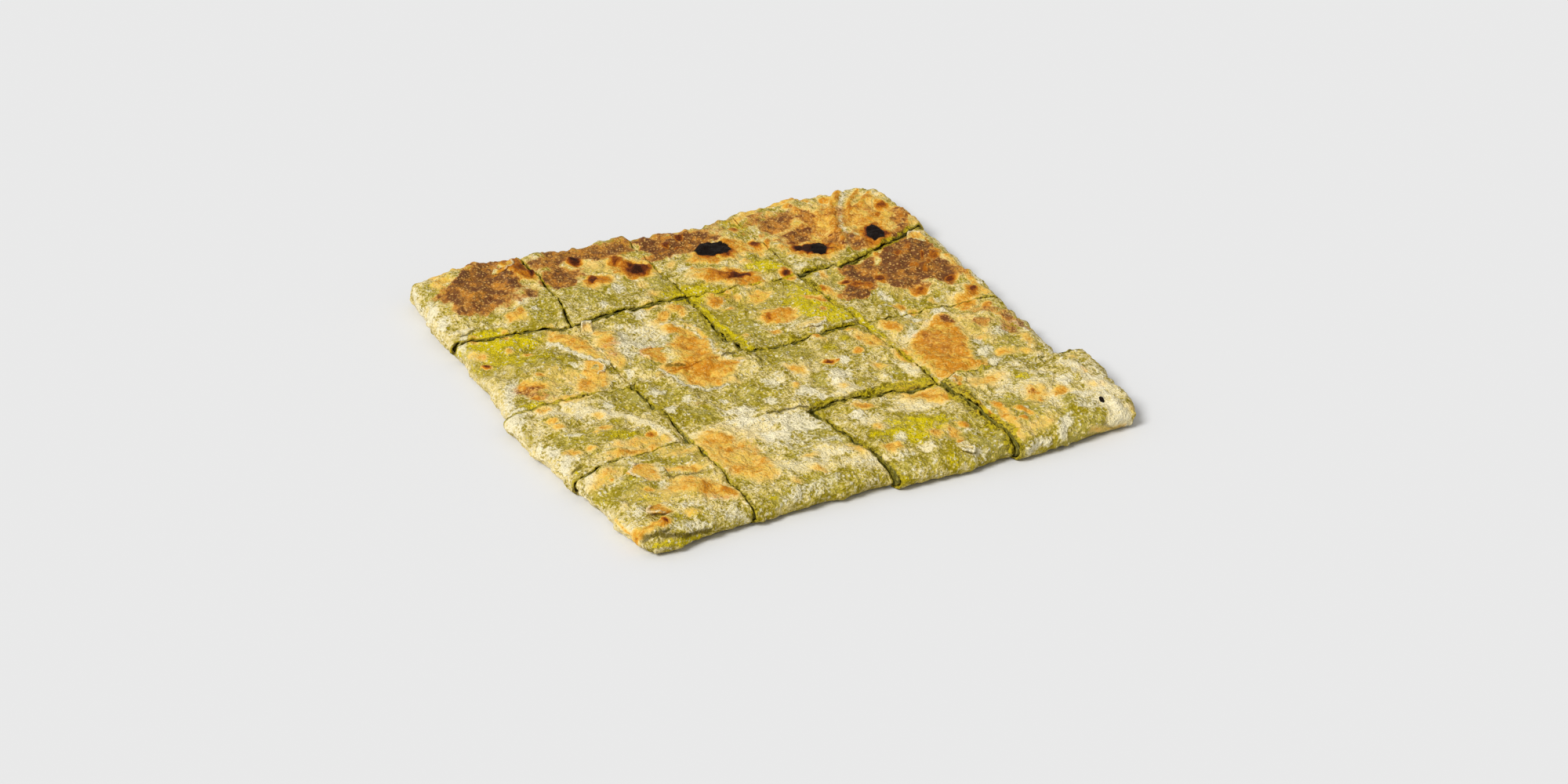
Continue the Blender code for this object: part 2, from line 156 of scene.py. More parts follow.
class Coat(Enum):
    """What a mark is of: its painted attribute and channel, and how its edge wanders and fades."""

    PALE = ("tone", 0, 0.5, 0.6)
    TOAST = ("tone", 1, 0.45, 0.5)
    WET = ("tone", 2, 0.5, 0.8)
    CHAR = ("burn", 0, 0.12, 0.25)
    GREEN = ("burn", 1, 0.5, 0.8)
    EDGE = ("burn", 2, 0.0, 0.1)
    GOLD = ("crust", 0, 0.3, 0.8)
    FLOUR = ("crust", 1, 0.5, 0.8)
    # Painted shade, in cracks, fold mouths and under the edges of flakes
    SHADE = ("crust", 2, 0.3, 0.4)

    @property
    def layer(self) -> str:
        """The painted attribute that holds it."""
        return self.value[0]

    @property
    def channel(self) -> int:
        """The channel of that attribute."""
        return self.value[1]

    @property
    def ragged(self) -> float:
        """How far its edge wanders, as a share of the mark's size."""
        return self.value[2]

    @property
    def soft(self) -> float:
        """How wide its edge fades, as a share of the mark's size."""
        return self.value[3]


def outward(azimuth: float, elevation: float) -> np.ndarray:
    """The way from the food to a camera or a lamp.

    Args:
        azimuth: Degrees round from the front, to the right.
        elevation: Degrees above the floor.

    Returns:
        A vector of length 1.
    """
    around, above = math.radians(azimuth), math.radians(elevation)
    return np.array(
        (math.sin(around) * math.cos(above), -math.cos(around) * math.cos(above), math.sin(above))
    )


def add_object(name: str, data: bpy.types.ID) -> bpy.types.Object:
    """Makes an object and puts it in the scene.

    Args:
        name: Its name.
        data: The mesh, lamp or camera that it shows.

    Returns:
        The new object.
    """
    made = bpy.data.objects.new(name, data)
    bpy.context.scene.collection.objects.link(made)
    return made


def add_grid(mesh: bmesh.types.BMesh, across: int, back: int) -> tuple[list, np.ndarray]:
    """Adds a flat grid that is one wide and one deep.

    Args:
        mesh: What it is added to.
        across: Its steps across.
        back: Its steps back.

    Returns:
        Its vertices, and their shares across and back, one pair a row.
    """
    made = bmesh.ops.create_grid(mesh, x_segments=across, y_segments=back, size=0.5)["verts"]
    return made, np.array([vertex.co[:2] for vertex in made]) + 0.5


@dataclass(frozen=True)
class PhotoCamera:
    """The photograph's camera, worked out in the part's own frame."""

    location: tuple[float, float, float] = (-585.670, -1146.196, 685.144)
    azimuth: float = -27.471
    elevation: float = 28.425
    roll: float = 0.431
    focal_pixels: float = 4695.0
    frame_pixels: tuple[int, int] = (2000, 1000)
    sensor: float = 36.0
    clip: tuple[float, float] = (0.05, 50.0)

    def axes(self) -> tuple[np.ndarray, np.ndarray, np.ndarray]:
        """The way that the camera is turned.

        Returns:
            Its right, up and backward directions.
        """
        azimuth, roll = math.radians(self.azimuth), math.radians(self.roll)
        back = outward(self.azimuth, self.elevation)
        right = np.array((math.cos(azimuth), math.sin(azimuth), 0.0))
        up = np.cross(back, right)
        level_right = math.cos(roll) * right + math.sin(roll) * up
        level_up = -math.sin(roll) * right + math.cos(roll) * up
        return level_right, level_up, back

    def pixels(self, points: np.ndarray) -> np.ndarray:
        """Where points show in the photograph.

        Args:
            points: Places in millimetres, one a row.

        Returns:
            Their pixels, one pair a row.
        """
        right, up, back = self.axes()
        away = points - np.array(self.location)
        depth = -(away @ back)
        width, height = self.frame_pixels
        across = width / 2 + self.focal_pixels * (away @ right) / depth
        down = height / 2 - self.focal_pixels * (away @ up) / depth
        return np.stack((across, down), axis=1)

    def add(self) -> None:
        """Makes the scene's camera."""
        data = bpy.data.cameras.new("camera")
        data.sensor_width = self.sensor
        data.lens = self.focal_pixels * self.sensor / self.frame_pixels[0]
        data.clip_start, data.clip_end = self.clip
        made = add_object("camera", data)
        turn = Matrix([Vector(axis) for axis in self.axes()]).transposed()
        made.matrix_world = Matrix.Translation(Vector(self.location) * MM) @ turn.to_4x4()
        bpy.context.scene.camera = made


def wave(across: np.ndarray, back: np.ndarray, length: float, seed: float) -> np.ndarray:
    """Smooth noise from about -1 to 1 over the plan, the same on every run."""
    places = zip((across / length).tolist(), (back / length).tolist())
    return 2.0 * np.array([noise.noise((x, y, seed)) for x, y in places])


def smooth(low: float, high: float, value: np.ndarray) -> np.ndarray:
    """A smooth step from 0 at low to 1 at high."""
    share = np.clip((value - low) / (high - low), 0.0, 1.0)
    return share * share * (3.0 - 2.0 * share)


def lattice(row_cut: int, column_cut: int) -> np.ndarray:
    """Where two cuts cross, or where one reaches the rim.

    Args:
        row_cut: The cut in front of the row of this number, and 0 for the back rim.
        column_cut: The cut to the right of the column of this number, and 0 for the left rim.

    Returns:
        The point, as (across, back).
    """
    if (row_cut, column_cut) in CROSSINGS:
        return np.array(CROSSINGS[row_cut, column_cut])
    across = -HALF_SPAN if column_cut == 0 else HALF_SPAN
    back = HALF_SPAN if row_cut == 0 else -HALF_SPAN
    if row_cut in ROW_CUT_ENDS:
        return np.array((across, ROW_CUT_ENDS[row_cut][0 if column_cut == 0 else 1]))
    if column_cut in COLUMN_CUT_ENDS:
        return np.array((COLUMN_CUT_ENDS[column_cut][0 if row_cut == 0 else 1], back))
    return np.array((across, back))


def meeting(
    first: np.ndarray, first_way: np.ndarray, second: np.ndarray, second_way: np.ndarray
) -> np.ndarray:
    """The point where two lines in the plan meet.

    Args:
        first: A point on the first line.
        first_way: The way that it runs.
        second: A point on the second line.
        second_way: The way that it runs.

    Returns:
        The point, as (across, back).
    """
    across = first_way[0] * second_way[1] - first_way[1] * second_way[0]
    gap = second - first
    return first + first_way * ((gap[0] * second_way[1] - gap[1] * second_way[0]) / across)


@dataclass
class SliceForm:
    """The outline and the height of one slice, as functions of its shares across and back."""

    row: int
    column: int
    thickness: float = 10.4
    nose_depth: float = 6.5
    nose_path: float = 17.0
    rim_reach: float = 0.3
    rim_wave: float = 1.1
    rim_wave_length: float = 24.0
    cut_wave: float = 0.5
    cut_wave_length: float = 17.0
    cut_edge_drop: float = 0.5
    cut_edge_reach: float = 2.4
    lump: tuple[float, float, float] = (0.9, 31.0, 1.5)
    wrinkle: tuple[float, float, float] = (0.45, 11.0, 2.5)
    rims: dict[str, bool] = field(init=False)
    corners: dict[tuple[int, int], np.ndarray] = field(init=False)

    def __post_init__(self) -> None:
        """Works out which sides are rims, and the four corners."""
        self.rims = {
            "left": self.column == 1,
            "right": self.column == SLICES_EACH_WAY,
            "front": self.row == SLICES_EACH_WAY,
            "back": self.row == 1,
        }
        self.corners = self.inset_corners()

    def name(self, part: str) -> str:
        """The node's name of one part of this slice."""
        return f"{part}_{self.row}_{self.column}"

    def line_corner(self, right: int, back: int) -> np.ndarray:
        """One corner of the slice on the lines that the knife took, or on the rim.

        Args:
            right: 1 for a right corner, 0 for a left one.
            back: 1 for a back corner, 0 for a front one.

        Returns:
            The corner, as (across, back).
        """
        column_cut = self.column if right else self.column - 1
        row_cut = self.row - 1 if back else self.row
        across_rim = self.rims["right" if right else "left"]
        back_rim = self.rims["back" if back else "front"]
        rim_across = (RIGHT_RIM if right else LEFT_RIM)[self.row][0 if back else 1]
        rim_back = (BACK_RIM if back else FRONT_RIM)[self.column][1 if right else 0]
        place = lattice(row_cut, column_cut)
        if across_rim and back_rim:
            return np.array((rim_across, rim_back))
        if across_rim:
            inner = lattice(row_cut, column_cut + (-1 if right else 1))
            return inner + (place - inner) * ((rim_across - inner[0]) / (place[0] - inner[0]))
        if back_rim:
            inner = lattice(row_cut + (1 if back else -1), column_cut)
            return inner + (place - inner) * ((rim_back - inner[1]) / (place[1] - inner[1]))
        return place

    def of_cut(self, side: str, row_cuts: dict, column_cuts: dict) -> float:
        """What two tables give for the cut along one side.

        Args:
            side: The side.
            row_cuts: The table of the cuts between rows.
            column_cuts: The table of the cuts between columns.

        Returns:
            The value beside this slice.
        """
        if side in ("left", "right"):
            return column_cuts[self.column if side == "right" else self.column - 1][self.row - 1]
        return row_cuts[self.row if side == "front" else self.row - 1][self.column - 1]

    def open_share(self, side: str) -> float:
        """How open the cut along one side is: 1 as the knife left it, 0 where the leaves touch."""
        return 1.0 - self.of_cut(side, ROW_CUT_CLOSING, COLUMN_CUT_CLOSING)

    def half_cut(self, side: str) -> float:
        """Half the width of the cut along one side of the slice, and none at the rim.

        Args:
            side: The side.

        Returns:
            How far the side is moved in.
        """
        if self.rims[side]:
            return 0.0
        return self.of_cut(side, ROW_CUT_WIDTHS, COLUMN_CUT_WIDTHS) * self.open_share(side) / 2.0

    def inset_corners(self) -> dict[tuple[int, int], np.ndarray]:
        """Moves each cut side in by half the width of its cut.

        Returns:
            The four corners, by their numbers to the right and to the back.
        """
        raw = {(right, back): self.line_corner(right, back) for right in (0, 1) for back in (0, 1)}
        sides = {
            "left": (raw[0, 0], raw[0, 1]),
            "right": (raw[1, 0], raw[1, 1]),
            "front": (raw[0, 0], raw[1, 0]),
            "back": (raw[0, 1], raw[1, 1]),
        }
        lines = {}
        for side, (start, end) in sides.items():
            way = (end - start) / np.linalg.norm(end - start)
            square = np.array((-way[1], way[0]))
            if square @ INWARD[side] < 0.0:
                square = -square
            lines[side] = (start + square * self.half_cut(side), way)
        return {
            (right, back): meeting(*lines["right" if right else "left"], *lines["back" if back else "front"])
            for right, back in raw
        }

    def straying(self, side: str, place: np.ndarray, share: np.ndarray) -> np.ndarray:
        """How far a side strays from its straight line, waving alike on both lips of a cut.

        Args:
            side: The side.
            place: Points on its straight line, one a row.
            share: How far along the side each of them is.

        Returns:
            How far each of them moves, across for a left or right side and back for the others.
        """
        if self.rims[side]:
            seed = 4.0 + self.row + 7.0 * self.column
            window = np.sin(np.pi * share)
            return self.rim_wave * window * wave(place[:, 0], place[:, 1], self.rim_wave_length, seed)
        if side in ("left", "right"):
            line = self.column if side == "right" else self.column - 1
            start, end = lattice(self.row, line), lattice(self.row - 1, line)
            axis, bow, seed = 1, COLUMN_CUT_BOWS.get((line, self.row), 0.0), 20.0 + line
        else:
            line = self.row if side == "front" else self.row - 1
            start, end = lattice(line, self.column - 1), lattice(line, self.column)
            axis, bow, seed = 0, ROW_CUT_BOWS.get((line, self.column), 0.0), 30.0 + line
        along = np.clip((place[:, axis] - start[axis]) / (end[axis] - start[axis]), 0.0, 1.0)
        waving = wave(place[:, axis], np.zeros(len(place)), self.cut_wave_length, seed)
        return self.cut_wave * np.sin(np.pi * along) * waving + bow * 4.0 * along * (1.0 - along)

    def side(self, side: str, share: np.ndarray) -> np.ndarray:
        """Points of one side of the outline.

        Args:
            side: The side.
            share: How far along it each point is, from left to right or from front to back.

        Returns:
            The points, one a row.
        """
        ends = {
            "left": ((0, 0), (0, 1)),
            "right": ((1, 0), (1, 1)),
            "front": ((0, 0), (1, 0)),
            "back": ((0, 1), (1, 1)),
        }[side]
        start, end = (self.corners[corner] for corner in ends)
        place = start + (end - start) * share[:, None]
        axis = 0 if side in ("left", "right") else 1
        place[:, axis] += self.straying(side, place, share)
        return place

    def plan(self, across: np.ndarray, back: np.ndarray) -> np.ndarray:
        """Points of the slice in the plan, blended from its four sides.

        Args:
            across: The share of each point from left to right.
            back: The share of each point from front to back.

        Returns:
            The points, one a row.
        """
        over, up = across[:, None], back[:, None]
        ruled = self.side("left", back) * (1.0 - over) + self.side("right", back) * over
        ruled += self.side("front", across) * (1.0 - up) + self.side("back", across) * up
        near = self.corners[0, 0] * (1.0 - over) + self.corners[1, 0] * over
        far = self.corners[0, 1] * (1.0 - over) + self.corners[1, 1] * over
        return ruled - near * (1.0 - up) - far * up

    def rounded(self, place: np.ndarray, across: np.ndarray, back: np.ndarray) -> np.ndarray:
        """Draws the outline in where two rims meet, so that the corner becomes an arc.

        Args:
            place: Points in the plan, one a row.
            across: The share of each from left to right.
            back: The share of each from front to back.

        Returns:
            The points, with those at a rounded corner moved in.
        """
        radius = CORNER_RADIUS.get((self.row, self.column))
        if radius is None:
            return place
        outward = {}
        for side, is_rim in self.rims.items():
            if is_rim:
                share = back if side in ("left", "right") else across
                depth = (place - self.side(side, share)) @ INWARD[side]
                outward[side] = np.clip(1.0 - depth / radius, 0.0, None)
        first, second = outward.values()
        in_corner = np.minimum(first, second) > 0.0
        length = np.where(in_corner, np.hypot(first, second), 1.0)
        shrink = np.where(in_corner, np.maximum(first, second) / length, 1.0)
        moved = place.copy()
        for side, out in outward.items():
            moved += INWARD[side] * (radius * out * (1.0 - shrink))[:, None]
        return moved

    def span(self, start: str, end: str) -> float:
        """The slice's width or depth at its middle."""
        middle = np.array((0.5,))
        return float(np.linalg.norm(self.side(end, middle) - self.side(start, middle)))

    def between_noses(self, start: str, end: str, share: np.ndarray) -> np.ndarray:
        """Turns shares of the sheet's flat part into shares of the whole slice.

        Args:
            start: The side that the shares run from.
            end: The side that they run to.
            share: The shares of the flat part.

        Returns:
            The same places as shares of the slice, its noses counted in.
        """
        width = self.span(start, end)
        low = self.nose_depth / width if self.rims[start] else 0.0
        high = 1.0 - self.nose_depth / width if self.rims[end] else 1.0
        return low + (high - low) * share

    def height(self, place: np.ndarray, across: np.ndarray, back: np.ndarray) -> np.ndarray:
        """Height of the upper surface.

        Args:
            place: Points in the plan, one a row.
            across: The share of each from left to right.
            back: The share of each from front to back.

        Returns:
            The height of each.
        """
        level = np.full(len(place), self.thickness + SLICE_RISE.get((self.row, self.column), 0.0))
        for rise, length, seed in (self.lump, self.wrinkle):
            level += rise * wave(place[:, 0], place[:, 1], length, seed)
        for middle, length, width, turn, rise in RELIEF.values():
            along, aside = turned(place - np.array(middle), turn)
            level += rise * np.exp(-((along / length) ** 2) - (aside / width) ** 2)
        shares = {"left": 1.0 - across, "right": across, "front": 1.0 - back, "back": back}
        for side, share in shares.items():
            if self.rims[side]:
                level -= RIM_DROP[side] * np.clip(1.0 - (1.0 - share) / self.rim_reach, 0.0, None) ** 2
            else:
                span = self.span("left", "right") if side in ("left", "right") else self.span("front", "back")
                away = (1.0 - share) * span
                drop = self.cut_edge_drop * self.open_share(side)
                level -= drop * (1.0 - smooth(0.0, self.cut_edge_reach, away))
        return level


def turned(away: np.ndarray, turn: float) -> tuple[np.ndarray, np.ndarray]:
    """Offsets in the plan along and beside a direction.

    Args:
        away: Offsets, one a row.
        turn: The direction, in degrees from the across axis.

    Returns:
        The parts along and beside it.
    """
    angle = math.radians(turn)
    along = away[:, 0] * math.cos(angle) + away[:, 1] * math.sin(angle)
    aside = away[:, 1] * math.cos(angle) - away[:, 0] * math.sin(angle)
    return along, aside


@dataclass(frozen=True)
class Patch:
    """One patch of the sheet, placed by the pixel of its middle and sized in millimetres.

    Args:
        coat: What the patch is of.
        across: The pixel of its middle, across the photograph.
        down: The same, down the photograph.
        length: Half its length.
        width: Half its width.
        turn: The way its length runs, in degrees from the across axis.
        strength: How much of the coat it brings, at its middle.
        rise: How far it stands up as a blister.
    """

    coat: Coat
    across: float
    down: float
    length: float
    width: float
    turn: float
    strength: float
    rise: float = 0.0

    @property
    def pixels(self) -> tuple[tuple[float, float], ...]:
        """The pixels that place it."""
        return ((self.across, self.down),)

    @property
    def reach(self) -> float:
        """How far from its middle it can still be seen."""
        return PATCH_REACH * self.length

    def away(self, places: np.ndarray, points: np.ndarray) -> np.ndarray:
        """How far places are from its middle, as shares of its size."""
        along, aside = turned(places - points[0], self.turn)
        return np.hypot(along / self.length, aside / self.width)


@dataclass(frozen=True)
class Stroke:
    """A line on the sheet, such as a torn edge, a crack, the ridge of a fold or a line of painted shade.

    Args:
        coat: What it is of.
        pixels: The pixels that it runs through.
        width: Half its width, in millimetres.
        strength: How much of the coat it brings.
        rise: How far it stands up, or below nought how deep it is.
    """

    coat: Coat
    pixels: tuple[tuple[float, float], ...]
    width: float
    strength: float
    rise: float

    @property
    def reach(self) -> float:
        """How far from its first point it can still be seen."""
        return LONGEST_MARK

    def away(self, places: np.ndarray, points: np.ndarray) -> np.ndarray:
        """How far places are from the line, as shares of its width."""
        return line_distance(places, points) / self.width


@dataclass(frozen=True)
class Shape:
    """A patch with corners of its own, such as a flake or a toasted area.

    Args:
        coat: What it is of.
        pixels: The pixels of its corners, in order.
        strength: How much of the coat it brings.
        rise: How far it stands up.
        edge: How wide its edge is, in millimetres.
    """

    coat: Coat
    pixels: tuple[tuple[float, float], ...]
    strength: float
    rise: float = 0.0
    edge: float = 3.2

    @property
    def reach(self) -> float:
        """How far from its first point it can still be seen."""
        return LONGEST_MARK

    def away(self, places: np.ndarray, points: np.ndarray) -> np.ndarray:
        """How far places are outside the shape.

        Args:
            places: Places in the plan, one a row.
            points: Its corners there.

        Returns:
            The distance of each in shares of its edge, and 1 on its outline.
        """
        closed = np.vstack((points, points[:1]))
        inside = np.zeros(len(places), dtype=bool)
        for start, end in zip(closed, closed[1:]):
            between = (start[1] > places[:, 1]) != (end[1] > places[:, 1])
            rise = end[1] - start[1] if end[1] != start[1] else 1.0
            met = start[0] + (places[:, 1] - start[1]) * (end[0] - start[0]) / rise
            inside ^= between & (places[:, 0] < met)
        nearest = line_distance(places, closed)
        return 1.0 + np.where(inside, -nearest, nearest) / self.edge


def line_distance(places: np.ndarray, points: np.ndarray) -> np.ndarray:
    """How far places are from a line through points.

    Args:
        places: Places in the plan, one a row.
        points: The line's points, in order.

    Returns:
        The distance of each place.
    """
    nearest = np.full(len(places), FAR)
    for start, end in zip(points, points[1:]):
        way = end - start
        share = np.clip((places - start) @ way / max(way @ way, TINY), 0.0, 1.0)
        nearest = np.minimum(nearest, np.hypot(*(places - start - share[:, None] * way).T))
    return nearest


@dataclass(frozen=True)
class Flake:
    """A torn flake or curled flap of dough that stands up from its slice.

    Args:
        row: Its slice's row.
        column: Its slice's column.
        across: Where it is rooted, as a share across the slice.
        back: The same, as a share back over the slice.
        turn: The way it points, in degrees from the across axis.
        length: Its length.
        width: Its width.
        lift: How far its tip stands up.
        gold: How golden it is baked.
        root: How far its root stands above the leaf.
        curl: How much a millimetre of lift shortens it.
        narrowing: How much narrower it is at its tip.
        roundness: How round its tip is.
        tear: How far its outline is torn, as a share, then the tear's length and seed.
        crumple: The height, the length and the seed of its wrinkles.
        rim: From where to where the flour of its edge sets in, as shares of its size.
        rim_tear: How much the tear moves that.
        gilding: How much of its length the gold takes to set in.
        flour: How floury its edge is.
    """

    row: int
    column: int
    across: float
    back: float
    turn: float
    length: float
    width: float
    lift: float
    gold: float
    root: float = 0.15
    curl: float = 0.1
    narrowing: float = 0.45
    roundness: float = 1.1
    tear: tuple[float, float, float] = (0.07, 2.2, 71.0)
    crumple: tuple[float, float, float] = (0.25, 3.0, 72.0)
    rim: tuple[float, float] = (0.78, 0.98)
    rim_tear: float = 0.1
    gilding: float = 0.35
    flour: float = 0.9


FLAKES = {
    "back_left_lip": Flake(1, 1, 0.74, 0.86, -35.0, 9.0, 12.0, 1.4, 0.5),
    "upright_flap": Flake(2, 2, 0.06, 0.84, 75.0, 6.5, 4.6, 3.9, 0.3),
    "middle_flake": Flake(2, 2, 0.5, 0.2, 150.0, 16.0, 15.0, 1.2, 0.5),
    "rim_flake": Flake(2, 4, 0.84, 0.86, 75.0, 8.0, 9.0, 1.8, 0.4),
    "torn_edge": Flake(2, 3, 0.66, 0.2, -80.0, 8.0, 14.0, 1.1, 0.3),
    "golden_flake": Flake(2, 1, 0.72, 0.32, -20.0, 12.0, 11.0, 1.2, 0.42),
    "front_left_flap": Flake(4, 1, 0.42, 0.3, 195.0, 13.0, 8.0, 1.8, 0.5),
    "sheet_edge": Flake(4, 1, 0.62, 0.72, 170.0, 16.0, 13.0, 1.1, 0.42),
    "curled_corner": Flake(4, 4, 0.1, 0.86, 150.0, 7.0, 6.0, 2.2, 0.5),
    "hanging_flap": Flake(4, 3, 0.62, 0.14, -80.0, 8.0, 5.0, 1.0, 0.15),
}


@dataclass
class Leaf:
    """The points of one slice's upper leaf: its faces' grid, its places and what is painted on it."""

    form: SliceForm
    spacing: float
    least_share: float = 0.5
    places: np.ndarray = field(init=False)
    unrolled: np.ndarray = field(init=False)
    shape: tuple[int, int] = field(init=False)
    order: np.ndarray = field(init=False)
    least: np.ndarray = field(init=False)
    over: np.ndarray = field(init=False)
    up: np.ndarray = field(init=False)
    nose: np.ndarray = field(init=False)
    to_cut: np.ndarray = field(init=False)
    coats: dict[Coat, np.ndarray] = field(init=False)
    mesh: bmesh.types.BMesh = field(init=False)

    def __post_init__(self) -> None:
        """Lays the grid out flat and moves it onto the slice."""
        form = self.form
        depth = form.nose_depth
        flat = (
            form.span("left", "right") - depth * (form.rims["left"] + form.rims["right"]),
            form.span("front", "back") - depth * (form.rims["front"] + form.rims["back"]),
        )
        starts = (
            -form.nose_path if form.rims["left"] else 0.0,
            -form.nose_path if form.rims["front"] else 0.0,
        )
        ends = (
            flat[0] + (form.nose_path if form.rims["right"] else 0.0),
            flat[1] + (form.nose_path if form.rims["back"] else 0.0),
        )
        steps = [round((end - start) / self.spacing) for start, end in zip(starts, ends)]
        self.mesh = bmesh.new()
        grid = add_grid(self.mesh, *steps)[1]
        self.order = np.lexsort((np.round(grid[:, 0], 5), np.round(grid[:, 1], 5)))
        self.shape = (steps[1] + 1, steps[0] + 1)
        over = starts[0] + grid[:, 0] * (ends[0] - starts[0])
        up = starts[1] + grid[:, 1] * (ends[1] - starts[1])
        self.over, self.up = over, up
        self.places, self.unrolled, self.nose, self.to_cut = self.lay(over, up, flat)
        self.least = self.least_share * self.places[:, 2]
        self.coats = {coat: np.zeros(len(grid)) for coat in Coat}

    def lay(
        self, over: np.ndarray, up: np.ndarray, flat: tuple[float, float]
    ) -> tuple[np.ndarray, np.ndarray, np.ndarray, np.ndarray]:
        """Lays points of the flat sheet on the slice and round its noses.

        Args:
            over: Distances across the sheet, below nought or past its flat width on a nose.
            up: Distances back over the sheet.
            flat: The width and the depth of the sheet's flat part.

        Returns:
            The places, the same places unrolled into the plan, how far each is round its nose, and
            how far it is from the nearest cut.
        """
        form = self.form
        past_over = np.maximum(np.clip(-over, 0.0, None), np.clip(over - flat[0], 0.0, None))
        past_up = np.maximum(np.clip(-up, 0.0, None), np.clip(up - flat[1], 0.0, None))
        past = np.maximum(past_over, past_up)
        turn = np.pi * (0.5 - past / form.nose_path)
        nose = form.nose_depth - form.nose_depth * np.cos(turn)
        safe = np.where(past > 0.0, past, 1.0)
        drawn = nose - form.nose_depth
        shares, rests, inside = [], [], []
        for place, beyond, size, start, end in (
            (over, past_over, flat[0], "left", "right"),
            (up, past_up, flat[1], "front", "back"),
        ):
            inside.append(np.clip(place / size, 0.0, 1.0))
            rests.append(form.between_noses(start, end, inside[-1]))
            depth = drawn * beyond / safe / form.span(start, end)
            shift = np.where(place < 0.0, depth, 0.0) - np.where(place > size, depth, 0.0)
            shares.append(rests[-1] + shift)
        place = form.rounded(form.plan(*shares), *shares)
        top = form.height(place, *inside)
        level = top * (0.5 + 0.5 * np.sin(turn))
        unrolled = form.plan(*rests)
        unrolled[:, 0] += np.where(over < 0.0, -past_over, past_over)
        unrolled[:, 1] += np.where(up < 0.0, -past_up, past_up)
        to_cut = np.full(len(over), UNCUT)
        ways = {"left": over, "right": flat[0] - over, "front": up, "back": flat[1] - up}
        for side, away in ways.items():
            bare = 0.0 if form.rims[side] else form.of_cut(side, ROW_CUT_BARE, COLUMN_CUT_BARE)
            if bare > LEAST_BARE:
                to_cut = np.minimum(to_cut, away / bare)
        return np.column_stack((place - MIDDLE, level)), unrolled, past / form.nose_path, to_cut

    def normals(self) -> np.ndarray:
        """Works out where the leaf faces, from its rows and columns of points.

        Returns:
            The outward normal at each point.
        """
        rows = self.places[self.order].reshape(*self.shape, 3)
        square = np.cross(np.gradient(rows, axis=1), np.gradient(rows, axis=0)).reshape(-1, 3)
        square /= np.maximum(np.linalg.norm(square, axis=1), TINY)[:, None]
        normals = np.empty_like(square)
        normals[self.order] = square
        return normals

    def raise_by(self, amount: np.ndarray) -> None:
        """Moves each point out along the normal, but less and less towards a nose's lower edge.

        Args:
            amount: How far each point moves.
        """
        free = 1.0 - smooth(*NOSE_REST, self.nose)
        self.places = self.places + self.normals() * (amount * free)[:, None]
        self.places[:, 2] = np.maximum(self.places[:, 2], self.least)


@dataclass
class Kneading:
    """The small wrinkles, bubbles and folds of the dough.

    A wrinkle has a height, a length and a seed. The reaches are shares of the way round a nose.
    """

    wrinkles: tuple[tuple[float, float, float], ...] = (
        (0.45, 14.0, 40.0),
        (0.65, 8.0, 41.0),
        (0.5, 3.6, 42.0),
        (0.22, 1.6, 43.0),
    )
    fold: tuple[float, float, float, float] = (0.2, 16.0, 3.2, 44.0)
    lip: tuple[float, float, float, float] = (0.35, 5.0, 1.6, 45.0)
    calm_nose: float = 0.2
    calm_reach: tuple[float, float] = (0.05, 0.4)
    fold_reach: tuple[float, float] = (0.0, 0.25)
    lip_reach: tuple[float, float] = (0.1, 0.4)
    bubble_count: int = 1500
    bubble_margin: float = 10.0
    bubble_radius: tuple[float, float] = (0.7, 2.0)
    bubble_rise: float = 0.36
    seed: int = 7

    def knead(self, leaf: Leaf) -> None:
        """Gives one leaf its wrinkles, the folds along its noses and its lips at the cuts.

        Args:
            leaf: The leaf, still smooth.
        """
        across, back = leaf.unrolled.T
        amount = np.zeros(len(across))
        for rise, length, seed in self.wrinkles:
            amount += rise * wave(across, back, length, seed)
        amount *= 1.0 - self.calm_nose * smooth(*self.calm_reach, leaf.nose)
        rise, along, beside, seed = self.fold
        for (_, start, end), first, second in zip(AXES, (beside, along), (along, beside)):
            if leaf.form.rims[start] or leaf.form.rims[end]:
                folds = wave(across / first, back / second, 1.0, seed)
                amount += rise * folds * smooth(*self.fold_reach, leaf.nose)
        rise, length, reach, seed = self.lip
        lips = rise * wave(across, back, length, seed)
        amount += lips * np.exp(-leaf.to_cut / reach) * (1.0 - smooth(*self.lip_reach, leaf.nose))
        amount += self.bubbles(across, back)
        leaf.raise_by(amount)

    def bubbles(self, across: np.ndarray, back: np.ndarray) -> np.ndarray:
        """Strews small round bubbles over the whole sheet.

        Args:
            across: Where each point is across the plan.
            back: Where each point is back over the plan.

        Returns:
            How far each point stands up.
        """
        strewn = np.random.default_rng(self.seed)
        half = HALF_SPAN + self.bubble_margin
        amount = np.zeros(len(across))
        low, high = self.bubble_radius
        for x, y, size in strewn.random((self.bubble_count, 3)):
            middle = ((x - 0.5) * 2.0 * half, (y - 0.5) * 2.0 * half)
            radius = low + (high - low) * size**3
            near = np.hypot(across - middle[0], back - middle[1]) / radius
            amount = np.maximum(amount, self.bubble_rise * radius * np.clip(1.0 - near**2, 0.0, None))
        return amount


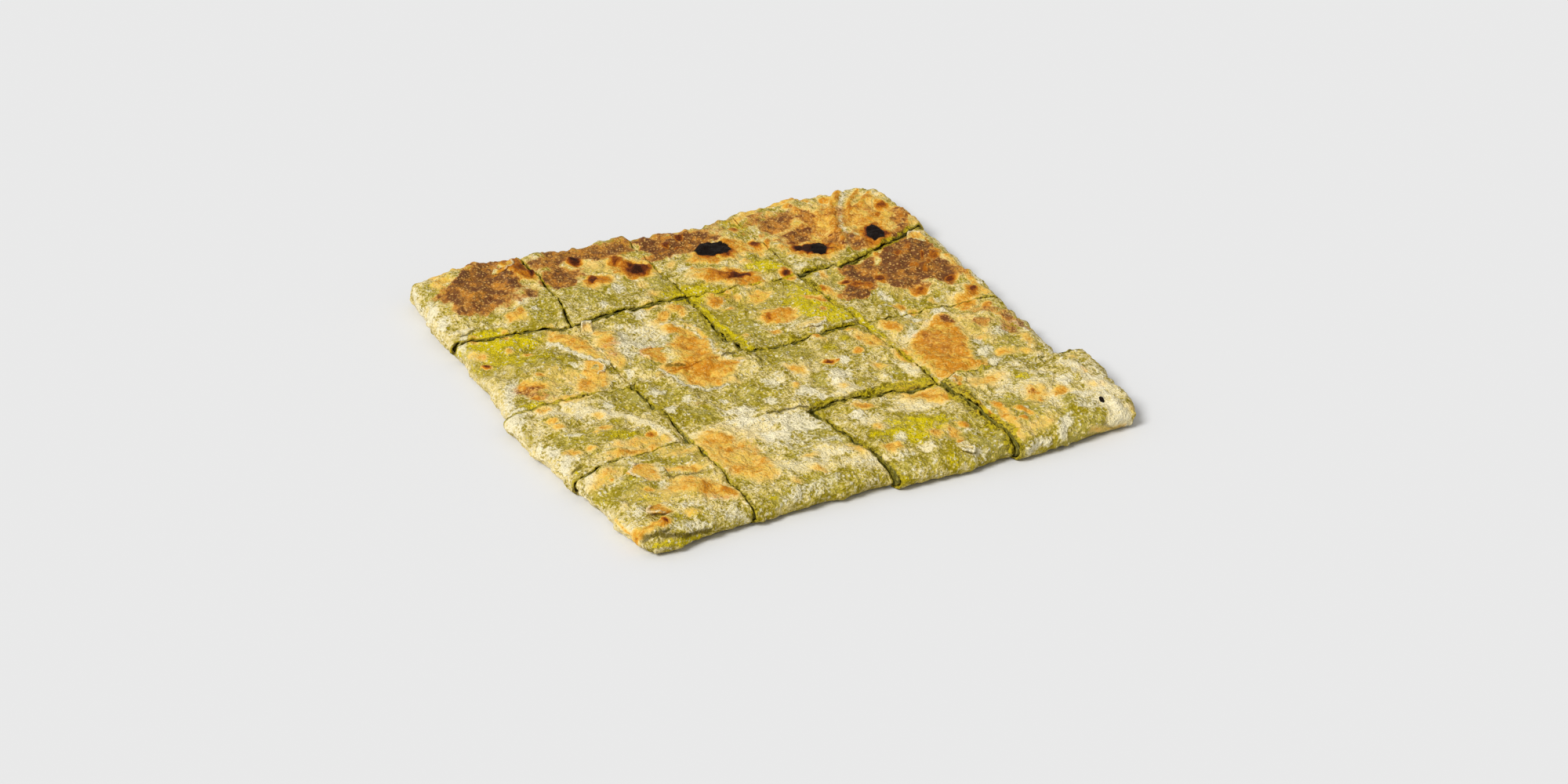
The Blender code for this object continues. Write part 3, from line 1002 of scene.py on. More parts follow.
@dataclass
class Baker:
    """Paints the marks of the sheet and raises the blisters and folds among them.

    A mark lies where the camera sees its pixel. Its edge wanders by a height, a length and a seed.
    """

    camera: PhotoCamera
    marks: tuple[Patch | Stroke | Shape, ...]
    wander: tuple[tuple[float, float, float], ...] = ((0.7, 5.0, 51.0), (0.35, 1.9, 52.0), (0.2, 0.8, 53.0))
    seen_from: float = 0.12
    puff: float = 0.75

    def paint(self, leaves: list[Leaf]) -> None:
        """Paints every mark on the leaf or leaves that it reaches.

        Args:
            leaves: The upper leaves of all slices, kneaded.
        """
        back_way = self.camera.axes()[2]
        pixels = np.concatenate([self.camera.pixels(leaf.places) for leaf in leaves])
        facing = np.concatenate([leaf.normals() @ back_way for leaf in leaves])
        unrolled = np.concatenate([leaf.unrolled for leaf in leaves])
        pixels[facing < self.seen_from] = FAR
        tree = KDTree(len(pixels))
        for index, (across, down) in enumerate(pixels.tolist()):
            tree.insert((across, down, 0.0), index)
        tree.balance()
        anchors = [
            np.array([unrolled[tree.find((across, down, 0.0))[1]] for across, down in mark.pixels])
            for mark in self.marks
        ]
        for leaf in leaves:
            low, high = leaf.unrolled.min(axis=0), leaf.unrolled.max(axis=0)
            wander = sum(rise * wave(*leaf.unrolled.T, length, seed) for rise, length, seed in self.wander)
            rises = np.zeros(len(wander))
            for mark, points in zip(self.marks, anchors):
                if np.any(points[0] < low - mark.reach) or np.any(points[0] > high + mark.reach):
                    continue
                ragged = mark.away(leaf.unrolled, points) + mark.coat.ragged * wander
                share = 1.0 - smooth(1.0 - mark.coat.soft, 1.0 + mark.coat.soft, ragged)
                coat = leaf.coats[mark.coat]
                np.maximum(coat, mark.strength * share, out=coat)
                rise = mark.rise or (self.puff * mark.strength if mark.coat is Coat.GOLD else 0.0)
                rises = np.maximum(rises, rise * share) if rise > 0.0 else rises + rise * share
            if rises.any():
                leaf.raise_by(rises)


class Wire:
    """A shader socket that can stand in a sum; the maths adds its nodes."""

    def __init__(self, shader: "Shader", socket: bpy.types.NodeSocket) -> None:
        """Holds a socket of a shader."""
        self.shader = shader
        self.socket = socket

    def maths(self, operation: str, *values: "Wire | float") -> "Wire":
        """A Math node on values."""
        settings = {"operation": operation}
        return self.shader.node("ShaderNodeMath", settings, dict(enumerate(values)))

    def __add__(self, other: "Wire | float") -> "Wire":
        """This plus another."""
        return self.maths("ADD", self, other)

    def __radd__(self, other: float) -> "Wire":
        """A number plus this."""
        return self.maths("ADD", other, self)

    def __sub__(self, other: "Wire | float") -> "Wire":
        """This less another."""
        return self.maths("SUBTRACT", self, other)

    def __rsub__(self, other: float) -> "Wire":
        """A number less this."""
        return self.maths("SUBTRACT", other, self)

    def __mul__(self, other: "Wire | float") -> "Wire":
        """This times another."""
        return self.maths("MULTIPLY", self, other)

    def __rmul__(self, other: float) -> "Wire":
        """A number times this."""
        return self.maths("MULTIPLY", other, self)

    def step(self, low: float, high: float) -> "Wire":
        """A smooth step on this.

        Args:
            low: Where it is 0.
            high: Where it is 1.

        Returns:
            The step.
        """
        settings = {"interpolation_type": "SMOOTHSTEP"}
        values = {"Value": self, "From Min": low, "From Max": high}
        return self.shader.node("ShaderNodeMapRange", settings, values)

    def most(self, other: "Wire | float") -> "Wire":
        """The greater of this and another."""
        return self.maths("MAXIMUM", self, other)


class Shader:
    """The node tree of one material."""

    def __init__(self, name: str) -> None:
        """Makes a material with an empty Principled shader.

        Args:
            name: Its name.
        """
        self.material = bpy.data.materials.new(name)
        self.material.use_nodes = True
        self.tree = self.material.node_tree
        self.surface = self.tree.nodes["Principled BSDF"]

    def node(self, kind: str, settings: dict, values: dict, output: int | str = 0) -> Wire:
        """Adds a node of any kind.

        Args:
            kind: The node's type.
            settings: Its properties, set first.
            values: The values or links of its sockets, by name or number.
            output: The socket that comes out.

        Returns:
            The wire from that socket.
        """
        made = self.tree.nodes.new(kind)
        for key, value in settings.items():
            setattr(made, key, value)
        for key, value in values.items():
            if isinstance(value, Wire):
                self.tree.links.new(value.socket, made.inputs[key])
            else:
                made.inputs[key].default_value = value
        return Wire(self, made.outputs[output])

    def set(self, **values: "Wire | float | tuple") -> None:
        """Sets or links sockets of the Principled shader.

        Args:
            values: The value or link of each, its name written with underscores.
        """
        for key, value in values.items():
            socket = self.surface.inputs[key.replace("_", " ")]
            if isinstance(value, Wire):
                self.tree.links.new(value.socket, socket)
            else:
                socket.default_value = value

    def millimetres(self) -> Wire:
        """The object's own coordinates, in millimetres."""
        place = self.node("ShaderNodeTexCoord", {}, {}, "Object")
        return self.node("ShaderNodeVectorMath", {"operation": "SCALE"}, {"Vector": place, "Scale": 1.0 / MM})

    def clouds(self, place: Wire, size: float, detail: float = 3.0, shift: float = 0.0) -> Wire:
        """Noise from about -1 to 1.

        Args:
            place: Where it is read, in millimetres.
            size: The size of its clouds.
            detail: How fine it goes.
            shift: How far it is moved, so that two of them differ.

        Returns:
            The noise.
        """
        moved = self.node("ShaderNodeVectorMath", {"operation": "ADD"}, {0: place, 1: (shift, shift, shift)})
        values = {"Vector": moved, "Scale": 1.0 / size, "Detail": detail, "Roughness": 0.6}
        return (self.node("ShaderNodeTexNoise", {}, values) - 0.5) * 4.0

    def cells(self, place: Wire, size: float) -> Wire:
        """Distance to the nearest of many strewn points, in shares of their spacing."""
        values = {"Vector": place, "Scale": 1.0 / size}
        return self.node("ShaderNodeTexVoronoi", {"feature": "F1"}, values, "Distance")

    def mix(self, share: "Wire | float", first: "Wire | tuple", second: "Wire | tuple") -> Wire:
        """Mixes two colours: the first at share 0, the second at share 1."""
        return self.node("ShaderNodeMix", {"data_type": "RGBA"}, {0: share, 6: first, 7: second}, 2)

    def painted(self, name: str) -> tuple[Wire, Wire, Wire]:
        """Reads a painted attribute.

        Args:
            name: The attribute's name.

        Returns:
            Its three channels.
        """
        colour = self.node("ShaderNodeAttribute", {"attribute_name": name}, {}, "Color")
        split = self.node("ShaderNodeSeparateColor", {}, {"Color": colour})
        outputs = split.socket.node.outputs
        return tuple(Wire(self, outputs[channel]) for channel in range(3))

    def bump(self, height: Wire, distance: float, strength: float) -> Wire:
        """A bump normal from heights in millimetres."""
        values = {"Strength": strength, "Distance": distance * MM, "Height": height}
        return self.node("ShaderNodeBump", {}, values)


def dye(red: int, green: int, blue: int) -> tuple[float, float, float, float]:
    """A screen colour as the light that it stands for.

    Args:
        red: The colour's red, up to 255.
        green: Its green.
        blue: Its blue.

    Returns:
        The light's red, green and blue, and an alpha of 1.
    """
    shares = [value / 255.0 for value in (red, green, blue)]
    light = [share / 12.92 if share <= 0.04045 else ((share + 0.055) / 1.055) ** 2.4 for share in shares]
    return (*light, 1.0)


@dataclass(frozen=True)
class DoughFinish:
    """Thin baked dough: green filling shows through it, and flour, gold, toast and char lie on it."""

    deep_green: tuple = dye(148, 130, 14)
    light_green: tuple = dye(202, 182, 66)
    grey_green: tuple = dye(164, 154, 86)
    cream: tuple = dye(234, 208, 124)
    flour: tuple = dye(243, 232, 196)
    pale_gold: tuple = dye(232, 186, 80)
    deep_gold: tuple = dye(200, 132, 30)
    fringe_gold: tuple = dye(240, 208, 124)
    orange: tuple = dye(182, 106, 20)
    brown: tuple = dye(108, 50, 18)
    umber: tuple = dye(48, 22, 10)
    toast_dot: tuple = dye(228, 176, 96)
    light_toast: tuple = dye(198, 130, 50)
    dark_toast: tuple = dye(104, 56, 30)
    black: tuple = dye(24, 16, 12)
    butter: tuple = dye(214, 192, 0)
    wet_green: tuple = dye(156, 136, 4)
    # Painted shade for cracks, fold mouths and flake edges, and the dark olive of torn cut edges
    shade_and_dark_olive: tuple = dye(88, 74, 12)
    cut_edge: tuple = dye(188, 168, 22)

    def material(self) -> bpy.types.Material:
        """Builds the dough's nodes.

        Returns:
            The material.
        """
        shader = Shader("katmer_dough")
        place = shader.millimetres()
        pale, toast, wet = shader.painted("tone")
        char, green, edge = shader.painted("burn")
        gold, flour, shade = shader.painted("crust")
        broad = shader.clouds(place, 10.0, 2.0)
        patchy = shader.clouds(place, 5.0, 3.0, 83.0)
        grain = shader.clouds(place, 2.6, 4.0, 31.0)
        speck = shader.clouds(place, 1.1, 2.0, 57.0)
        mottle = grain * 0.55 + speck * 0.8
        dots = 1.0 - shader.cells(place, 1.9).step(0.2, 0.36)
        pinheads = 1.0 - shader.cells(place, 1.4).step(0.22, 0.45)

        # Thin dough over the green filling, with a dry and floury cover
        depth = (broad * 0.3 + grain * 0.6 + speck * 0.5).step(-0.45, 0.5)
        under = shader.mix(depth, self.deep_green, self.light_green)
        under = shader.mix(green * broad.step(-0.4, 0.4) * 0.7, under, self.grey_green)
        floury = (speck * 0.6 + patchy * 0.4 + pale * 1.2 - 0.6).step(-0.4, 0.7)
        covering = shader.mix(floury * 0.7, self.cream, self.flour)
        cover = pale * 2.0 - green * 1.3 - 0.78 + broad * 0.35 + patchy * 0.45 + mottle * 0.6
        cover = cover.step(-0.4, 0.5)
        specks = dots * (mottle + 0.5).step(-0.3, 0.4)
        colour = shader.mix(cover.most(specks * 0.8) * 0.92, under, covering)

        # Wet and floury areas
        soaked = (wet * 1.3 - 0.15 + wet.step(0.02, 0.3) * mottle * 0.5).step(0.1, 0.9)
        oily = shader.mix((mottle * 0.5 + wet * 1.4 - 1.0).step(-0.5, 0.4), self.wet_green, self.butter)
        colour = shader.mix(soaked * 0.95, colour, oily)
        dusted = (flour * 1.2 - 0.15 + flour.step(0.02, 0.3) * mottle * 0.7).step(0.0, 0.9)
        colour = shader.mix(dusted * 0.8, colour, self.flour)

        # Golden blisters that bake to orange, brown and umber
        baked = gold - flour * 0.28 + gold.step(0.03, 0.2) * (mottle * 0.07 + patchy * 0.1)
        ripe = (mottle * 0.35 + patchy * 0.6 + gold * 2.6 - 1.2).step(-0.45, 0.45)
        golden = shader.mix(ripe, self.pale_gold, self.deep_gold)
        golden = shader.mix((gold + mottle * 0.12).step(0.42, 0.24) * 0.7, golden, self.fringe_gold)
        golden = shader.mix(pinheads * 0.3, golden, self.cream)
        golden = shader.mix((grain - patchy * 0.6).step(0.25, 0.8) * 0.45, golden, self.light_green)
        colour = shader.mix(baked.step(0.06, 0.44), colour, golden)
        colour = shader.mix(baked.step(0.54, 0.8), colour, self.orange)
        colour = shader.mix(baked.step(0.7, 0.92), colour, self.brown)
        colour = shader.mix(baked.step(0.9, 1.06), colour, self.umber)

        # Toasted areas and charred spots
        seared = toast + toast.step(0.02, 0.25) * (mottle * 0.22 + patchy * 0.2)
        crust = shader.mix((seared + patchy * 0.4).step(0.4, 1.1), self.light_toast, self.dark_toast)
        crust = shader.mix((mottle * 0.4 - patchy * 0.8).step(0.2, 0.8) * 0.65, crust, self.deep_gold)
        crust = shader.mix((patchy * 0.6 + broad * 0.4).step(0.3, 0.8) * 0.6, crust, self.brown)
        crust = shader.mix(pinheads * 0.65, crust, self.toast_dot)
        colour = shader.mix(seared.step(0.2, 0.7) * (1.0 - baked.step(0.55, 0.8)) * 0.95, colour, crust)
        burnt = (char + char.step(0.02, 0.3) * mottle * 0.1).step(0.35, 0.65)
        colour = shader.mix(burnt, colour, self.black)

        # Crumbs of flour, painted shade in cracks and under flake edges, and the torn edges at the cuts
        crumbs = (1.0 - shader.cells(place, 2.4).step(0.2, 0.36)) * (patchy + mottle).step(-0.4, 0.4)
        dust = (1.0 - shader.cells(place, 1.2).step(0.2, 0.42)) * (grain - patchy).step(-0.2, 0.8)
        flecks = crumbs.most(dust * 0.8)
        bare = 1.0 - baked.step(0.15, 0.45).most(burnt).most(seared.step(0.2, 0.5))
        colour = shader.mix(flecks * bare * 0.75, colour, self.flour)
        # Painted shade: darkens cracks, fold mouths and the sheet under the edges of flakes
        colour = shader.mix(shade * 0.85, colour, self.shade_and_dark_olive)
        torn = (edge * 1.2 + edge.step(0.05, 0.3) * mottle * 0.4).step(0.2, 0.8)
        inside = shader.mix((grain * 0.6 + speck * 0.6).step(-0.45, 0.25), self.shade_and_dark_olive, self.cut_edge)
        colour = shader.mix(torn * 0.85, colour, inside)

        # Gloss and small relief
        rough = 0.56 - soaked * 0.3 - baked.step(0.1, 0.5) * 0.1 + cover * 0.1
        relief = mottle * (0.42 - baked.step(0.1, 0.4) * 0.26) + broad * 0.1 + flecks * bare * 0.2
        relief = relief + specks * 0.14 + cover * 0.12 + pinheads * seared * 0.2
        shader.set(
            Base_Color=colour,
            Roughness=rough,
            Normal=shader.bump(relief, 1.0, 1.0),
            Specular_IOR_Level=0.06,
        )
        return shader.material


@dataclass(frozen=True)
class FillingFinish:
    """Cooked spinach: moist, olive green, with paler crumbs."""

    green: tuple = dye(158, 144, 36)
    dark: tuple = dye(98, 92, 12)
    pale: tuple = dye(192, 172, 84)

    def material(self) -> bpy.types.Material:
        """Builds the filling's nodes.

        Returns:
            The material.
        """
        shader = Shader("katmer_filling")
        place = shader.millimetres()
        leaf = shader.clouds(place, 2.2, 4.0)
        crumb = shader.clouds(place, 0.9, 3.0, 23.0)
        colour = shader.mix(leaf.step(-0.3, 0.5), self.dark, self.green)
        colour = shader.mix(crumb.step(0.3, 0.8) * 0.7, colour, self.pale)
        rough = 0.5 - leaf.step(0.0, 0.6) * 0.15
        normal = shader.bump(leaf * 0.3 + crumb * 0.2, 1.0, 0.9)
        shader.set(Base_Color=colour, Roughness=rough, Normal=normal, Specular_IOR_Level=0.5)
        return shader.material


def write_piece(
    name: str, mesh: bmesh.types.BMesh, finish: bpy.types.Material
) -> bpy.types.Object:
    """Makes a bmesh in millimetres a finished piece at the origin, riding on the part's body.

    Args:
        name: The piece's name.
        mesh: Its mesh, which is freed.
        finish: Its material.

    Returns:
        The new object.
    """
    bmesh.ops.scale(mesh, vec=(MM, MM, MM), verts=mesh.verts)
    for face in mesh.faces:
        face.smooth = True
    data = bpy.data.meshes.new(name)
    mesh.to_mesh(data)
    mesh.free()
    data.materials.append(finish)
    made = add_object(name, data)
    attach(made, BODY)
    return made


def thicken(piece: bpy.types.Object, thickness: float) -> None:
    """Gives an open sheet its thickness, inwards.

    Args:
        piece: The sheet.
        thickness: Its thickness.
    """
    wall = piece.modifiers.new("leaf_thickness", "SOLIDIFY")
    wall.thickness = thickness * MM
    wall.offset = -1.0


@dataclass
class DoughSlice:
    """The dough of one slice: an upper leaf that goes round its noses, and a lower leaf."""

    leaf: Leaf
    thickness: float = 0.9
    weld: float = 0.005
    lower_steps: int = 24
    flake_steps: int = 20
    lower_pale: float = 0.6
    lower_gold: float = 0.2

    def build(self, finish: bpy.types.Material) -> bpy.types.Object:
        """Makes the piece, with its painted attributes, and puts it in the solid's place.

        Args:
            finish: The dough's material.

        Returns:
            The piece.
        """
        mesh = self.leaf.mesh
        form = self.leaf.form
        layers = {name: mesh.verts.layers.float_color.new(name) for name in ("tone", "burn", "crust")}
        painted = {name: np.ones((len(self.leaf.places), 4)) for name in layers}
        for coat, strength in self.leaf.coats.items():
            painted[coat.layer][:, coat.channel] = strength
        for name, layer in layers.items():
            for vertex, values in zip(mesh.verts, painted[name].tolist()):
                vertex[layer] = values
        for vertex, place in zip(mesh.verts, self.leaf.places.tolist()):
            vertex.co = place
        self.add_lower_leaf(mesh, layers)
        bmesh.ops.remove_doubles(mesh, verts=mesh.verts, dist=self.weld)
        for flake in FLAKES.values():
            if (flake.row, flake.column) == (form.row, form.column):
                self.add_flake(mesh, flake, layers)
        piece = write_piece(form.name("baked_dough"), mesh, finish)
        thicken(piece, self.thickness)
        if any(form.rims.values()):
            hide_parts(form.name("dough"))
        else:
            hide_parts(form.name("dough_top"), form.name("dough_bottom"))
        return piece

    def paint_plain(
        self, vertex: bmesh.types.BMVert, layers: dict, pale: float, gold: float, flour: float = 0.0
    ) -> None:
        """Paints one vertex that no mark reaches.

        Args:
            vertex: The vertex.
            layers: The painted attributes, by name.
            pale: How pale it is.
            gold: How golden it is.
            flour: How floury it is.
        """
        vertex[layers["tone"]] = (pale, 0.0, 0.0, 1.0)
        vertex[layers["burn"]] = (0.0, 0.0, 0.0, 1.0)
        vertex[layers["crust"]] = (gold, flour, 0.0, 1.0)

    def add_lower_leaf(self, mesh: bmesh.types.BMesh, layers: dict) -> None:
        """Adds the flat leaf under the filling, from nose to nose or cut to cut.

        Args:
            mesh: The piece's mesh.
            layers: Its painted attributes, by name.
        """
        form = self.leaf.form
        made, grid = add_grid(mesh, self.lower_steps, self.lower_steps)
        shares = [form.between_noses(start, end, grid[:, axis]) for axis, start, end in AXES]
        place = form.plan(*shares) - MIDDLE
        for vertex, (x, y) in zip(made, place.tolist()):
            vertex.co = (x, y, 0.0)
            self.paint_plain(vertex, layers, self.lower_pale, self.lower_gold)
        faces = {face for vertex in made for face in vertex.link_faces}
        bmesh.ops.reverse_faces(mesh, faces=list(faces))

    def add_flake(self, mesh: bmesh.types.BMesh, flake: Flake, layers: dict) -> None:
        """Adds one torn flake, rooted in the upper leaf and curling up from it.

        Args:
            mesh: The piece's mesh.
            flake: The flake.
            layers: The mesh's painted attributes, by name.
        """
        form = self.leaf.form
        made, grid = add_grid(mesh, self.flake_steps, self.flake_steps)
        share, side = grid[:, 0], grid[:, 1] - 0.5
        ragged, *waviness = flake.tear
        torn = wave(side * flake.width, np.full(len(grid), flake.turn), *waviness)
        round_tip = 1.0 - flake.roundness * side**2 * share + ragged * torn * share
        reach = share * flake.length * (1.0 - flake.curl * flake.lift * share) * round_tip
        spread = side * flake.width * (1.0 - flake.narrowing * share**2)
        root = form.plan(np.array((flake.across,)), np.array((flake.back,)))[0]
        angle = math.radians(flake.turn)
        ahead = np.array((math.cos(angle), math.sin(angle)))
        aside = np.array((-ahead[1], ahead[0]))
        place = root + reach[:, None] * ahead + spread[:, None] * aside
        size = (form.span("left", "right"), form.span("front", "back"))
        over = np.clip(flake.across + (place - root)[:, 0] / size[0], 0.0, 1.0)
        up = np.clip(flake.back + (place - root)[:, 1] / size[1], 0.0, 1.0)
        rise, *waviness = flake.crumple
        crumple = rise * share * wave(place[:, 0], place[:, 1], *waviness)
        level = form.height(place, over, up) + flake.root + flake.lift * share**2 + crumple
        rim = smooth(*flake.rim, np.maximum(share, 2.0 * np.abs(side)) + flake.rim_tear * torn)
        golden = flake.gold * smooth(0.0, flake.gilding, share)
        floury = flake.flour * rim * share
        for vertex, (x, y), z, gold, flour in zip(
            made, (place - MIDDLE).tolist(), level.tolist(), golden.tolist(), floury.tolist()
        ):
            vertex.co = (x, y, z)
            self.paint_plain(vertex, layers, self.lower_pale, gold, flour)


@dataclass
class FillingSlice:
    """The spinach inside one slice, with a rough face at each cut.

    Its upper face is sunk in the middle, so that it stays under the wrinkled leaf. The brim, as a share
    of the slice's half, is the strip beside a cut that stays high.
    """

    form: SliceForm
    dough: float = 1.0
    sunk: float = 1.5
    brim: float = 0.06
    round_steps: int = 280
    rise_steps: int = 10
    recess: float = 0.15
    squeeze: tuple[float, float, float] = (0.55, 7.0, 63.0)
    nose_recess: float = 2.4
    lumps: tuple[tuple[float, float, float], ...] = ((0.22, 3.0, 61.0), (0.16, 1.3, 62.0))
    lump_slant: tuple[float, float] = (1.3, 0.2)
    flat_normal: float = 0.9
    on_side: float = 0.999

    def build(self, finish: bpy.types.Material) -> bpy.types.Object:
        """Makes the piece and puts it in the solid's place.

        Args:
            finish: The filling's material.

        Returns:
            The piece.
        """
        form = self.form
        mesh = bmesh.new()
        bmesh.ops.create_cone(
            mesh, cap_ends=True, cap_tris=True, segments=self.round_steps, radius1=1.0, radius2=1.0, depth=1.0
        )
        for step in range(1, self.rise_steps):
            level = Vector((0.0, 0.0, step / self.rise_steps - 0.5))
            geometry = mesh.verts[:] + mesh.edges[:] + mesh.faces[:]
            bmesh.ops.bisect_plane(mesh, geom=geometry, plane_co=level, plane_no=(0.0, 0.0, 1.0))
        mesh.normal_update()
        caps = [face for face in mesh.faces if abs(face.normal.z) > self.flat_normal]
        bmesh.ops.inset_region(mesh, faces=caps, thickness=self.brim, use_even_offset=True)
        ring = np.array([vertex.co[:] for vertex in mesh.verts])
        square = ring[:, :2] / np.maximum(np.abs(ring[:, :2]).max(axis=1), TINY)[:, None]
        square *= np.minimum(1.0, np.hypot(ring[:, 0], ring[:, 1]))[:, None]
        shares = []
        bulge = np.sqrt(np.clip(1.0 - (2.0 * ring[:, 2]) ** 2, 0.0, 1.0))
        for axis, start, end in AXES:
            width = form.span(start, end)
            nose = form.nose_depth - (form.nose_depth - self.nose_recess) * bulge
            low = np.where(form.rims[start], nose, self.recess) / width
            high = 1.0 - np.where(form.rims[end], nose, self.recess) / width
            shares.append(low + (high - low) * (square[:, axis] * 0.5 + 0.5))
        place = form.rounded(form.plan(*shares), *shares)
        cut = self.cut_sides(square)
        to_cut = 1.0 - (np.abs(square) * cut).max(axis=1)
        top = form.height(place, *shares) - 2.0 * self.dough - self.sunk * smooth(0.0, self.brim, to_cut)
        level = self.dough + top * (ring[:, 2] + 0.5)
        out = square.copy()
        out[np.abs(square) < self.on_side] = 0.0
        rise, length, seed = self.squeeze
        squeezed = rise * wave(place[:, 0], place[:, 1], length, seed) * np.sin(np.pi * (ring[:, 2] + 0.5))
        place = place + out * cut * squeezed[:, None]
        upward, backward = self.lump_slant
        for rise, length, seed in self.lumps:
            slanted = level * upward + place[:, 1] * backward
            rough = rise * wave(place[:, 0] + place[:, 1], slanted, length, seed)
            place = place + out * rough[:, None]
        for vertex, (x, y), z in zip(mesh.verts, (place - MIDDLE).tolist(), level.tolist()):
            vertex.co = (x, y, z)
        bmesh.ops.recalc_face_normals(mesh, faces=mesh.faces)
        piece = write_piece(form.name("spinach"), mesh, finish)
        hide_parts(form.name("filling"))
        return piece

    def cut_sides(self, square: np.ndarray) -> np.ndarray:
        """Tells the cut sides from the noses.

        Args:
            square: Points from -1 to 1 across and back, one a row.

        Returns:
            Across and back, 1 where the side that a point lies towards is a cut, and 0 for a nose.
        """
        rims = self.form.rims
        across = np.where(square[:, 0] < 0.0, rims["left"], rims["right"])
        back = np.where(square[:, 1] < 0.0, rims["front"], rims["back"])
        return 1.0 - np.column_stack((across, back)).astype(float)


PALE, TOAST, WET, CHAR, GREEN, EDGE, GOLD, FLOUR, SHADE = Coat

